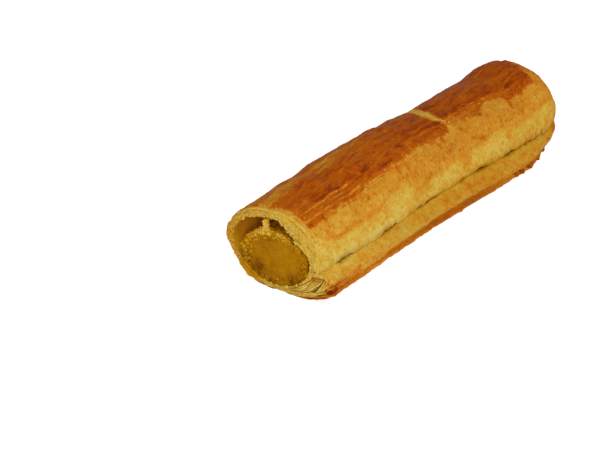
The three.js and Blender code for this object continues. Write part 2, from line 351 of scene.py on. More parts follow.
stations = np.concatenate([
    np.arange(1.7, 9, 0.36),
    np.arange(9, 20, 0.55),
    np.arange(20, roll["length"] - shutEnd["rounding"] - 0.3, 0.76),
])


def shutEndRow(turn):
    power = 2 / shutEnd["squareness"]
    x = roll["length"] - shutEnd["rounding"] * (1 - math.sin(turn) ** power)
    shrink = math.cos(turn) ** power
    u, z = outerSection(x)
    u = roll["centreU"] + (u - roll["centreU"]) * shrink
    z = shutEnd["height"] + (z - shutEnd["height"]) * shrink
    row = place(x, u, z)
    near = hump(z, shutEnd["height"], shutEnd["creaseHalfHeight"])
    row[:, 0] -= shutEnd["creaseDepth"] * (1 - shrink) * near
    return x, row


# The cavity under the roof, and the cut face between cavity and crust

def gapAt(x, degrees):
    turned = (degrees - roofGap["angle"] + 540) % 360 - 180
    spread = np.where(turned > 0, roofGap["farSpread"], roofGap["lipSpread"])
    across = np.maximum(0, 1 - (turned / spread) ** 2)
    along = mix(1, roofGapFade["left"], smooth(x, roofGapFade["from"], roofGapFade["to"]))
    extra = roofGap["byStrand"]
    more = extra["most"] * hump(degrees, extra["angle"], extra["halfWidth"]) * fade(x, 4, extra["runs"])
    return roofGap["most"] * across * along + more * (across > 0)


fillingMiddle = filling["bottom"] + filling["height"] / 2


def fillingSection(x, grow, degrees):
    taper = 1 - filling["taper"] * smooth(x, filling["taperFrom"], filling["reach"])
    halfWidth = filling["width"] / 2 * taper
    halfHeight = filling["height"] / 2
    c, s = np.cos(np.radians(degrees)), np.sin(np.radians(degrees))
    bulge = filling["bulge"]
    grow = grow + bulge["out"] * hump((degrees + 180) % 360 - 180, bulge["angle"], bulge["halfWidth"])
    outU, outZ = c / halfWidth, s / halfHeight
    size = np.hypot(outU, outZ)
    u = filling["centreU"] + halfWidth * c + grow * outU / size
    z = fillingMiddle + halfHeight * s + grow * outZ / size
    return u, z


# where each part of the outline's share of the cavity wall ends, in degrees
cavityEnds = {"roof": 241.5, "base": 269.6, "foot": 286.5, "lip": 354}
cavityDegrees = np.concatenate([
    roofStart + (roofDegrees - roofStart) * (cavityEnds["roof"] - roofStart) / (roofEnd - roofStart),
    np.linspace(cavityEnds["roof"], cavityEnds["base"], columns["base"] + 1)[1:],
    np.linspace(cavityEnds["base"], cavityEnds["foot"], columns["foot"] + 1)[1:],
    np.linspace(cavityEnds["foot"], cavityEnds["lip"], columnCount - lipFirst + 1)[1:],
])


def cavityRow(x, ragged=0.0):
    room = gapAt(x, cavityDegrees)
    crumbs = layers(0.11 * cavityDegrees, 0.3 * x, 41) + 0.8 * layers(0.4 * cavityDegrees, 1.1 * x, 45)
    grow = roofGap["clearance"] + room + ragged * crumbs * smooth(room, 0.2, 2)
    return place(x, *fillingSection(x, grow, cavityDegrees))


fan = {
    # the leaves that have sprung apart low on the lip's side of the cut; each is a line through (u, z)
    "lines": (
        ((12.6, 5.9), (17.2, 8.2), (20.4, 11.2), (22.6, 14.2)),
        ((9.5, 3.6), (15.1, 5.7), (19.7, 9.0), (23.6, 12.8), (25.2, 14.6)),
        ((13.0, 3.8), (18.2, 6.4), (21.8, 9.6), (25.2, 13.0), (26.4, 14.4)),
        ((15.5, 3.7), (20.2, 6.4), (23.1, 9.3), (26.4, 12.5), (27.6, 14.4)),
        ((24.2, 6.2), (26.1, 8.9), (28.2, 12.2), (28.8, 14.2)),
        ((25.8, 6.8), (27.6, 9.6), (29.5, 12.6), (29.9, 14.0)),
        ((27.2, 7.3), (29.0, 10.2), (30.6, 12.6)),
        ((16.6, 3.6), (22.2, 4.9), (26.0, 6.2), (29.4, 7.9)),
    ),
    "slit": ((21.6, 5.5), (24.2, 7.8), (26.9, 11.4)),
    "slitHalfWidth": 0.5,
    "thickness": 1.3,
    "proud": 1.0,
    "deep": 2.6,
    "waver": 0.3,
    "points": 26,  # on each line
}


def alongLine(points, count):
    points = np.array(points)
    run = np.concatenate([[0], np.cumsum(np.hypot(*np.diff(points, axis=0).T))])
    even = np.linspace(0, run[-1], count)
    line = np.stack([np.interp(even, run, points[:, 0]), np.interp(even, run, points[:, 1])], -1)
    for _ in range(3):
        line[1:-1] = (line[:-2] + 2 * line[1:-1] + line[2:]) / 4
    return line


fanLines = [alongLine(line, fan["points"]) for line in fan["lines"]]
fanSlit = alongLine(fan["slit"], fan["points"])


def nearLine(u, z, marks, halfWidth):
    # 1 on the line and nought a little more than its half width away
    away = np.hypot(u[:, None] - marks[:, 0], z[:, None] - marks[:, 1]).min(1)
    away = away + 0.35 * halfWidth * layers(u / 1.6, z / 1.6, 75, 2)
    return fade(away, 0.6 * halfWidth, 1.3 * halfWidth)


cutLook = {
    "rows": 34,
    "leaf": 0.8,  # thickness of a baked leaf
    "proud": 0.6,  # how far one leaf stands past the next
    "slit": 0.8,  # depth of an open slit between leaves
    "crumb": 0.3,
    "roundOff": 0.9,  # the outer edge is worn round
    "fanDepth": 1.0,  # the sprung leaves have left a hollow behind them
    "footSlit": {"from": 24.0, "z": 4.2, "climb": 0.56, "halfWidth": 0.6, "depth": 1.7},
}


def leafPattern(u, z, share, thickness):
    # leaf number across the wall, counted from the cavity; it wavers along the wall
    look = cutLook
    arc = np.arctan2(z - fillingMiddle, u) * 24
    wander = 0.9 * layers(arc / 8, 0.5, 61, 2) + 0.35 * layers(arc / 2.2, share * 3, 62, 2)
    number = share * thickness / look["leaf"] + wander
    whole = np.floor(number)
    inLeaf = number - whole
    height = grain(arc / 4, whole * 1.7, 71) * 0.6 + grain(arc / 1.3, whole * 2.3, 72) * 0.4
    opened = smooth(grain(arc / 4.5, whole * 3.1, 73), 0.15, 0.8)
    atEdge = hump(inLeaf, 0, 0.16) + hump(inLeaf, 1, 0.16)
    foot = look["footSlit"]
    footZ = foot["z"] + foot["climb"] * (u - foot["from"]) + 0.25 * layers(u / 2, 0.5, 74)
    footSlit = hump(z, footZ, foot["halfWidth"]) * smooth(u, foot["from"] - 1, foot["from"] + 1.5)
    footSlit = np.maximum(footSlit, nearLine(u, z, fanSlit, fan["slitHalfWidth"]))
    return height, opened * atEdge, nearLine(u, z, np.concatenate(fanLines[:-1]), 0.9), footSlit


def cutRows():
    # rings from the cavity's edge to the outer edge; each gives its points, open slits and sprung leaves
    u1, z1 = outerSection(0.0)
    outer = place(0.0, u1, z1)
    room = gapAt(0.0, cavityDegrees)
    torn = 0.8 * layers(0.13 * cavityDegrees, 0, 41, 4) + 0.75 * layers(0.4 * cavityDegrees, 0, 46, 2)
    u0, z0 = fillingSection(0.0, roofGap["clearance"] + room + torn * smooth(room, 0.2, 2), cavityDegrees)
    inner = place(0.0, u0, z0)
    thickness = np.hypot(u1 - u0, z1 - z0)
    rings = []
    for share in np.linspace(0, 1, cutLook["rows"]) ** 0.92:
        row = mix(inner, outer, share)
        u, z = mix(u0, u1, share), mix(z0, z1, share)
        height, slit, sprung, footSlit = leafPattern(u, z, share, thickness)
        rim = smooth(share, 0, 0.08) * fade(share, 0.9, 1)
        back = cutLook["proud"] * (0.6 - height) + cutLook["slit"] * slit * rim
        back = back + cutLook["crumb"] * layers(u / 0.8, z / 0.8, 81) + cutLook["fanDepth"] * sprung * rim
        back = back * mix(0.35, 1, rim) + cutLook["roundOff"] * smooth(share, 0.66, 1) ** 2
        row[:, 0] += back + cutLook["footSlit"]["depth"] * footSlit * fade(share, 0.93, 1)
        # the second value marks the open slits, which are painted dark as shade
        rings.append((row, np.clip(0.55 * slit * rim + 0.95 * footSlit, 0, 1), sprung * rim))
    return rings


# What baking did to the crust: relief in mm, and how brown, scorched and olive each point is; some of the
# dark and olive marks are painted shade in gaps, slits and the seam

crown = {
    # (x, g): the dark line where the glaze ends, and the lower edge of the browned band under it
    "glazeEdge": (
        (0, 36.5), (8, 35.1), (20, 34.9), (38, 35.2), (46, 35.3), (55, 34.4), (59, 32), (66, 30.4),
        (80, 30.2), (88, 30.6), (95, 31.2), (99, 33.5), (103, 37.0), (122, 38), (135, 37.5), (140, 39.4),
        (165, 39.6), (175, 38.6), (187, 36.8), (200, 35), (214, 34), (228, 34),
    ),
    "bandEdge": (
        (0, 26), (5, 25.4), (18, 25.4), (19, 25.6), (28, 25.4), (40, 25), (54, 25.2), (56, 28.6),
        (74, 28.4), (78, 28), (90, 29), (95, 30.4), (115, 31), (117, 29.5), (124, 31), (126, 30.5),
        (136, 31), (138, 35), (141, 33.5), (150, 32.6), (155, 31), (166, 30.6), (169, 34.5), (175, 35.5),
        (180, 34), (186, 33.4), (188, 26.5), (192, 29.2), (200, 28), (204, 29.6), (208, 30.4), (211, 28.5),
        (216, 28), (228, 33),
    ),
    "leaf": 0.55,  # thickness of the glazed top leaf
    "endsAt": 213.5,  # x at the lower edge of the glaze
    "endLean": 5,
    "tone": 0.76,
    "palerByCut": 0.09,
    "streaks": 0.11,
    "fineStreaks": 0.09,
    "blotches": 0.08,
    "golden": 0.13,
    "foldBackGlints": 0.12,
    "foldHollowShade": 0.08,
    "deeper": (  # x, g, half length, half girth, how much browner
        (40, 35.8, 24, 1.1, 0.12), (70, 44.5, 12, 1.6, 0.07), (76, 33, 9, 2.4, 0.03),
        (97, 35.0, 3, 2.6, 0.12), (129, 38.6, 8, 0.9, 0.16), (112, 39.2, 8, 0.8, 0.12),
        (150, 45, 9, 5, 0.06), (55, 35.6, 8, 0.9, 0.1), (20, 36.4, 12, 0.8, 0.08), (205, 34, 4, 1.4, 0.06),
        (193, 37, 8, 2, 0.04), (49, 56.5, 2, 0.7, 0.14), (97, 48.5, 5, 0.9, 0.1), (178, 53, 5, 2, 0.08),
        (13, 45, 8, 2.4, 0.06), (59, 47, 8, 1.2, 0.05), (142, 49, 3, 4, 0.08),
    ),
    # those at g of 50 and more, high on the crown, are painted highlights of the glaze's sheen; the lower
    # ones are pale marks near the glaze's edge
    "lighter": (  # the same, with how much paler last
        (26, 55.4, 18, 1.0, 0.1), (56, 52.4, 4, 1.8, 0.1), (25, 57.5, 22, 1.6, 0.1),
        (52, 57.6, 17, 1.8, 0.14), (84, 57.6, 16, 1.8, 0.12), (164, 57, 10, 1.6, 0.08),
        (8, 52, 6, 0.9, 0.06), (16, 38.8, 3, 0.8, 0.1), (42, 38.6, 1.2, 0.7, 0.2),
        (60, 35.6, 1.4, 0.6, 0.24), (64, 33, 3, 0.6, 0.14), (76, 34.6, 4, 0.5, 0.14),
        (90, 35.6, 6, 0.5, 0.2), (92, 50, 5, 0.9, 0.08), (86, 53, 4, 1.0, 0.1), (168, 55, 9, 1.2, 0.1),
        (194, 46, 8, 2, 0.06), (125, 57, 8, 1.6, 0.1), (196, 33.4, 1.2, 0.7, 0.16), (155, 50, 4, 1.8, 0.06),
    ),
}
brownBand = {
    "tone": 0.64,
    "strokes": 0.1,
    "flecks": 0.2,
    "lines": (  # from x, to x, g, half girth, how much browner, or lighter where below nought
        (9, 30, 34.2, 0.4, -0.36), (29, 55, 34.8, 0.42, -0.36), (5, 55, 29.8, 0.5, -0.34),
        (29, 55, 26.2, 0.5, -0.26), (16, 50, 31.0, 0.35, 0.16), (8, 28, 27.4, 0.4, -0.2),
        (34, 54, 33.4, 0.35, 0.14), (5, 19, 25.7, 0.35, 0.2), (12, 55, 32.2, 0.4, -0.26),
        (20, 52, 28.3, 0.4, 0.22), (64, 67, 33.6, 0.6, -0.3), (99, 124, 38.2, 0.45, -0.26),
        (142, 168, 39.6, 0.5, -0.34), (148, 172, 36.8, 0.4, -0.2), (80, 94, 29.0, 0.6, -0.14),
        (60, 79, 29.0, 0.5, 0.1),
    ),
    "blocks": (  # from x, to x, from g, to g, how much browner
        (5, 18.6, 26, 28.7, 0.14), (18.8, 28.4, 25.6, 28.8, -0.2), (29, 40, 25.4, 28.4, -0.04),
        (36, 53, 26.2, 28.6, 0.02), (128, 136.5, 30.8, 36.8, 0.12), (138, 150, 33, 39, -0.14),
        (150, 158, 34, 37, -0.04), (157, 171, 34, 39, 0.05), (171, 188, 33.5, 37.5, 0.02),
        (42, 75, 30, 34, 0.07), (103, 127, 31, 36, 0.06), (116, 131, 35, 39.4, 0.12),
        (86, 101, 29.5, 34.5, 0.13), (187, 213, 29.5, 34.5, 0.13),
    ),
}
combed = {"from": 56.5, "to": 74, "lowest": 24, "highest": 28.8, "every": 1.5, "tone": 0.42, "depth": 0.12}
crossLine = {
    # the pale line across the glaze: (g, x)
    "path": (
        (28, 141), (32, 140), (36, 138.6), (39, 138), (42, 136.4), (46, 136.8), (50, 137.4), (55, 138.6),
        (60, 140.6), (70, 145), (82, 150),
    ),
    "halfWidth": ((28, 0.6), (36, 1.1), (40, 2.2), (44, 3.2), (60, 3.0), (82, 2.2)),
    "depth": 0.4,
    "tone": 0.2,
}
side = {
    "paleEdge": (  # x, g below which the side is pale
        (0, 26), (4, 21), (10, 15), (20, 12.3), (35, 11.8), (45, 11.5), (60, 13), (70, 16.5), (84, 18),
        (92, 9.5), (100, 10), (110, 13), (125, 14), (131, 12), (134, 6), (140, 8), (143, 13.5), (155, 14.5),
        (165, 18), (175, 14), (185, 12), (195, 14), (205, 15), (215, 14), (228, 14),
    ),
    "gold": 0.31,
    "pale": 0.17,
    "freckles": 0.17,
    "dabStrength": 0.85,
    "dabs": (  # x, g, half length, half girth, how much browner
        (13.4, 19.2, 1.2, 1.2, 0.42), (17, 17.2, 1.8, 0.9, 0.2), (11.5, 22.4, 2.4, 0.9, 0.16),
        (24, 13.6, 7, 0.9, 0.2), (45, 14.0, 14, 1.0, 0.13), (42, 20.8, 0.8, 1.4, 0.3),
        (26.5, 18.8, 1.2, 0.7, 0.18), (54.5, 22.2, 1.9, 1.2, 0.32), (64, 21.6, 6, 0.6, 0.16),
        (54.2, 27.2, 1.0, 2.6, 0.22), (8.5, 24.6, 3.0, 0.7, 0.14), (84.4, 25, 1.1, 2.1, 0.3),
        (91.5, 25, 1.0, 2.6, 0.36), (87.5, 26.6, 3, 0.9, 0.2), (103, 14.2, 3.4, 0.9, 0.22),
        (119, 18.8, 2.0, 1.4, 0.2), (121.4, 25.8, 0.9, 2.4, 0.3), (118.6, 29.2, 2.4, 1.5, 0.34),
        (127.3, 28.6, 1.0, 2.4, 0.42), (126, 20.4, 3.4, 1.2, 0.16), (144.6, 28.8, 1.8, 1.6, 0.34),
        (147.6, 20.3, 1.8, 0.8, 0.26), (138, 18.6, 4.5, 1.0, 0.18), (156, 17.2, 3.4, 1.7, 0.18),
        (135, 15.6, 4.5, 1.6, 0.1), (136, 9, 3, 4, 0.06), (137, 25, 4, 3, 0.08), (165, 24, 9, 3, 0.05),
        (163.5, 30.2, 1.8, 1.0, 0.32), (166.4, 26.8, 1.2, 0.9, 0.32), (188.2, 27.0, 1.0, 2.8, 0.42),
        (194, 24.5, 8, 3.6, 0.17), (94, 7, 7, 3, 0.12), (124, 17, 7, 3, 0.09), (94, 17, 7, 3, 0.07),
        (180, 6, 6, 3, 0.08), (196, 7, 7, 3, 0.08), (195, 20.2, 5.5, 1.5, 0.2), (192.4, 18, 1.1, 1.6, 0.18),
        (201, 17.4, 3.4, 1.1, 0.14), (210.6, 4.8, 2.4, 1.6, 0.34), (179, 19, 5, 1.6, 0.1),
        (109, 23, 6, 2, 0.08), (76, 18, 6, 2, 0.06), (33, 22, 3, 1.2, 0.1), (63, 10.4, 3, 1.2, 0.14),
        (112.4, 11.6, 1.2, 1.8, 0.16), (6, 5.6, 4, 0.9, 0.16), (97, 20, 3.4, 1.2, 0.12),
        (153, 24, 4, 1.0, 0.1), (176, 11, 3, 2, 0.12), (48, 23.8, 4, 0.7, 0.12),
    ),
}
lipLook = {
    "gold": 0.18,
    "browner": (  # x, how much browner
        (0, -0.02), (20, 0), (50, 0.02), (70, 0.04), (90, 0.06), (110, 0.07), (118, 0.12), (130, 0.1),
        (142, 0.18), (162, 0.18), (172, 0.1), (205, 0.12), (228, 0.1),
    ),
    # x, mm below the seam: where the base sheet's brown edge begins; then x, how brown it is
    "edgeAt": (
        (0, 17.0), (12, 17.0), (27, 17.8), (40, 19.4), (52, 20.2), (60, 18.6), (72, 18.4), (85, 18.7),
        (94, 19.2), (104, 18.5), (118, 17.6), (130, 18.1), (148, 19.0), (158, 18.2), (172, 17.4),
        (185, 17.6), (200, 17.2), (228, 17.2),
    ),
    "edgeTone": (
        (0, 0.56), (20, 0.54), (34, 0.44), (48, 0.4), (60, 0.5), (78, 0.6), (94, 0.64), (104, 0.84),
        (125, 0.72), (138, 0.86), (150, 0.78), (160, 0.58), (178, 0.44), (195, 0.5), (228, 0.6),
    ),
    "lineAt": 20.6,
    "burntAt": (
        (4.5, 21.6), (8, 21.6), (180, 23.2), (185.5, 23.0), (193, 22.6), (203.5, 22.0), (211.5, 22.2),
    ),
    "dabs": (  # x, mm below the seam, half length, half girth, how much browner
        (71.5, 9, 2.4, 1.4, 0.26), (62, 9.4, 2.6, 0.8, 0.12), (76, 13.8, 4.5, 1.6, -0.12),
        (118, 13, 3, 1.6, 0.14), (125, 14.4, 3.4, 1.2, 0.14), (137, 12.6, 5, 1.6, 0.18),
        (148, 11.6, 3, 1.8, 0.14), (156, 14.6, 2.6, 2.2, 0.2), (170, 12, 1.6, 3, 0.16),
        (187, 11, 2.6, 1.2, 0.18), (88, 12, 5, 2, 0.07), (34, 15, 5, 0.9, 0.1), (105, 12, 3, 2.2, 0.1),
        (20, 9.5, 4, 1.4, -0.1), (4, 8, 4, 4, 0.12), (208, 13, 5, 2, 0.08), (48, 17.4, 7, 2.2, 0.17),
        (33, 17.2, 6, 1.8, 0.13), (19, 13.6, 6, 2.6, 0.12), (48, 8, 8, 2, 0.09), (62, 12, 6, 2.4, -0.11),
        (93, 17, 7, 1.6, 0.09), (149, 9, 6, 1.6, 0.06), (136.5, 11.4, 3.5, 1.5, -0.07),
        (178, 19.6, 8, 1.2, 0.07), (207, 9.4, 6, 2.4, -0.1),
    ),
}


def addDabs(x, g, dabs, shiftX=0.0, shiftG=0.0):
    browner = 0
    for atX, atG, halfX, halfG, strength in dabs:
        browner = browner + strength * hump(x + shiftX, atX, halfX) * hump(g + shiftG, atG, halfG)
    return browner


def crownLook(x, g, wander):
    # the glazed top: streaked along the roll
    drift = g - 0.12 * x
    streak = layers(x / 24, drift / 1.9, 21, 3)
    fineStreak = layers(x / 8, drift / 0.7, 22, 2)
    blotch = layers(x / 6, g / 4, 23, 3)
    near = fade(x, 60, 95)
    tone = crown["tone"] - 0.03 * fade(x, 100, 150) - crown["palerByCut"] * fade(x, 8, 36)
    # paler high on the crown near the cut: painted sheen of the glaze
    tone = tone - 0.09 * near * smooth(g, 49, 55) + 0.04 * smooth(x, 85, 150)
    tone = tone + crown["streaks"] * streak + crown["fineStreaks"] * fineStreak + crown["blotches"] * blotch
    tone = tone + addDabs(x, g, crown["deeper"], 1.2 * wander, 0.35 * wander)
    tone = tone - addDabs(x, g, crown["lighter"], 1.2 * wander, 0.35 * wander)
    # paler golden streaks high on the crown: painted highlights of the glaze's sheen
    golden = layers(x / 26, (g - 0.06 * x) / 2.0, 24, 2) + 0.3 * hump(g, 56, 5)
    golden = smooth(golden, 0.3, 0.6) * smooth(g, 47, 53)
    tone = tone - crown["golden"] * golden * mix(0.5, 1, fade(x, 36, 44)) * near
    # thin folds in the glaze near the top, with painted glints on their backs and painted shade in the
    # hollows between them
    fold = layers(x / 8, (g - 0.2 * x) / 0.9, 30, 3)
    folds = smooth(fold, 0.12, 0.42) * smooth(g, 43, 50)
    hollows = smooth(-fold, 0.15, 0.5) * smooth(g, 43, 50)
    tone = tone - crown["foldBackGlints"] * folds + crown["foldHollowShade"] * hollows
    return tone, 0.2 * streak + 0.12 * fineStreak + 0.12 * blotch + 0.22 * folds


def bandLook(x, g, wander):
    # the opened leaves under the glaze's edge
    stroke = layers(x / 5, g / 0.9, 25, 3)
    tone = brownBand["tone"] + 0.06 * fade(x, 40, 60) + brownBand["strokes"] * stroke
    tone = tone + 0.08 * grain(x / 6, g / 2.5, 26)
    ragged = 0.3 * wander + 0.5 * layers(x / 1.8, 0.5, 29, 2)
    flecks = smooth(layers(x / 1.5, g / 1.1, 28, 2), 0.3, 0.6) * smooth(x, 60, 100)
    tone = tone - brownBand["flecks"] * flecks
    height = 0.12 * stroke + 0.15 * flecks
    for start, end, at, half, change in brownBand["lines"]:
        broken = smooth(grain(x / 4, at, 27), -0.7, 0.1)
        strong = hump(g + ragged, at, half) * band(x, start, end, 1.2) * broken
        tone = tone + change * strong
        height = height - 0.5 * change * strong
    for startX, endX, startG, endG, change in brownBand["blocks"]:
        inside = band(x + wander, startX, endX, 0.7) * band(g + ragged, startG, endG, 0.4)
        tone = tone + change * inside
        height = height - 0.3 * change * inside
    return tone, height


def sideLook(x, g, slanted):
    # gold with short marks round the roll, pale lower down
    mottle = layers(x / 11, g / 7, 31, 3)
    patches = layers(x / 4.2, g / 2.8, 38, 3)
    flecks = layers(x / 1.6, g / 3.2, 32, 3)
    edge = through(side["paleEdge"], x) + 2.2 * mottle + 1.6 * patches
    above = smooth(g, edge - 3.2, edge + 2.6)
    gold = side["gold"] + 0.045 * smooth(x, 70, 95) * smooth(g, 14, 20)
    gold = gold + 0.05 * mottle + 0.04 * patches + 0.07 * flecks + 0.03 * slanted
    pale = side["pale"] + 0.07 * patches + 0.11 * slanted + 0.05 * flecks
    tone = mix(pale, gold, above) + 0.05 * hump(g, edge + 1.8, 1.6)
    tone = tone + mix(-0.1, 0.07, smooth(x, 66, 80)) * fade(g, 2.5, 7)
    tone = tone + 0.05 * fade(x, 6, 14) * fade(g, 3, 9) + 0.03 * smooth(x, 160, 175) * hump(g, 9, 6)
    warpX = 1.5 * layers(x / 2.2, g / 2.2, 33, 3) + 0.6 * flecks
    warpG = 1.7 * layers(x / 2.2, g / 2.2, 35, 3)
    tone = tone + side["dabStrength"] * addDabs(x, g, side["dabs"], warpX, warpG)
    crackNoise = layers(x / 0.95 + 0.3 * np.sin(g), g / 3.0, 36, 2)
    cracks = smooth(crackNoise, 0.4, 0.72) * band(g, 8, 27, 3) * smooth(mottle, -0.3, 0.3)
    freckles = smooth(layers(x / 1.5, g / 1.9, 37, 2), 0.4, 0.62) * band(g, 6, 30, 3)
    freckles = freckles * smooth(patches, -0.2, 0.3)
    tone = tone + side["freckles"] * freckles
    height = 0.2 * flecks + 0.22 * mottle + 0.16 * patches - 0.34 * cracks + 0.28 * slanted * (1 - above)
    return tone, height, cracks


def lipShades(x, down, slanted):
    # down is in mm below the seam
    blot = layers(x / 6, down / 4, 42, 3)
    tone = lipLook["gold"] + through(lipLook["browner"], x) + mix(0.22, 0.32, smooth(x, 70, 90)) * slanted
    tone = tone + 0.1 * blot + 0.07 * smooth(down, 9, 13) * fade(x, 60, 75)
    tone = tone + 0.08 * smooth(down, 14, 17) * fade(x, 30, 45)
    tone = tone + addDabs(x, down, lipLook["dabs"], 0.8 * blot, 0.8 * slanted)
    edgeFrom = through(lipLook["edgeAt"], x) + 0.7 * blot + 0.5 * slanted
    dark = band(x, 62, 158, 8)  # the base sheet's edge is browner half way along
    edgeTone = through(lipLook["edgeTone"], x)
    tone = mix(tone, edgeTone + 0.1 * slanted, smooth(down, edgeFrom, edgeFrom + mix(1.6, 0.7, dark)))
    below = smooth(down, lipLook["lineAt"], lipLook["lineAt"] + 0.8)
    tone = mix(tone, edgeTone + 0.05 + 0.14 * layers(x / 7, down / 1.2, 44, 3), below)
    tone = tone + 0.05 * fade(x, 6, 14) * fade(down, 9, 14)
    line = hump(down + 0.3 * blot, 19.8, 0.8) * mix(smooth(grain(x / 11, 7.7, 43), -0.6, 0.3), 1, dark)
    # browner just under the seam's mouth: painted shade in its groove
    tone = tone + 0.25 * band(down, 1.2, 5, 0.4) * smooth(x, 14, 19)
    # an open line over the base sheet by the cut, darker and browner: painted shade in its gap
    openLine = hump(down + 0.5 * slanted, 17.9, 0.45) * band(x, 3, 24, 1.2)
    openLine = openLine * smooth(grain(x / 2.4, 4.1, 54), -0.7, 0.1)
    tone = tone + 0.3 * hump(down + 0.5 * slanted, 17.6, 1.1) * band(x, 3, 18, 2)
    return tone, 0.55 * slanted + 0.2 * blot - 0.25 * line, 0.2 * line + 0.7 * openLine


def combTeeth(x, g, wander):
    # combed lines low on the side, and where they are
    where = band(x, combed["from"], combed["to"], 1.2) * band(g, combed["lowest"], combed["highest"], 0.5)
    return where, np.sin(2 * np.pi * (g - 0.02 * x + 0.15 * wander) / combed["every"])


def crossLineLook(x, g):
    # the line across the glaze: where it is, and its tone
    across = x + 0.7 * layers(x / 1.5, g / 1.5, 37) - through(crossLine["path"], g)
    across = across / through(crossLine["halfWidth"], g)
    tone = crossLine["tone"] - 0.05 * smooth(g, 43, 50) + 0.14 * layers(x / 1.5, g / 2.5, 39)
    return np.exp(-(across ** 4)) * band(g, 30, 88, 3), tone


def rimLook(x, g, wander):
    # the golden under-leaf by the cut, where the top leaf has broken away, and the torn edge behind it with a
    # dark line, painted shadow of that step
    edge = leafEdge(columnDegrees)[None, :] + 0.35 * wander
    rim = fade(x, edge - 0.35, edge + 0.35) * smooth(g, 14, 22)
    gold = 0.27 + 0.09 * layers(x / 2.4, g / 5, 47, 3) - 0.14 * fade(x, 1.0, 3.4)
    torn = hump(x, edge + 0.55, 0.5) * band(g, 23, 37, 1) * smooth(grain(g / 2.2, 0.5, 48), -0.5, 0.4)
    return rim, gold, torn


def sideOlive(x, g, gNear, slanted):
    # olive shades low on the side; the olive line just above the seam and the dark frayed strokes are painted
    # shade of its crease and the leaf ends over it
    olive = 0.7 * hump(g, 0.8, 1.4) * (band(x, 84, 160, 6) + 0.3) * smooth(grain(x / 5, 1.2, 49), -0.9, 0.2)
    olive = olive + 0.35 * smooth(slanted, 0.1, 0.6) * fade(gNear, 6, 12)
    olive = olive + (0.2 * hump(x, 94, 12) + 0.14 * smooth(x, 160, 175)) * hump(gNear, 9, 7) * (g < 30)
    frayedShade = smooth(layers(x / 1.1, g / 5, 50, 2), -0.1, 0.5) * fade(g, 0.8, 3.4)
    frayedShade = frayedShade * mix(0.2, 1, band(x, 74, 188, 6))
    return (olive + 0.5 * frayedShade) * (g > -1), frayedShade * (g > -1)


def seamMarks(x, g):
    # darker and olive in the open seam, painted shade in its gap, and dark dots along it near the shut end
    seamGapShade = seamOpen(x) * smooth(layers(x / 1.1, g / 0.7, 56, 2), -0.4, 0.15) * fade(x, 206, 212)
    dotted = smooth(layers(x / 0.9, g / 0.8, 55, 2), 0.2, 0.5) * hump(g, 0.5, 2.6) * smooth(x, 186, 196)
    scorch = 0.24 * seamGapShade * band(g, -7.4, 0.4, 0.4) + 0.75 * dotted
    return scorch, 0.6 * seamGapShade * band(g, -7.8, 0.8, 0.5) + 0.5 * dotted


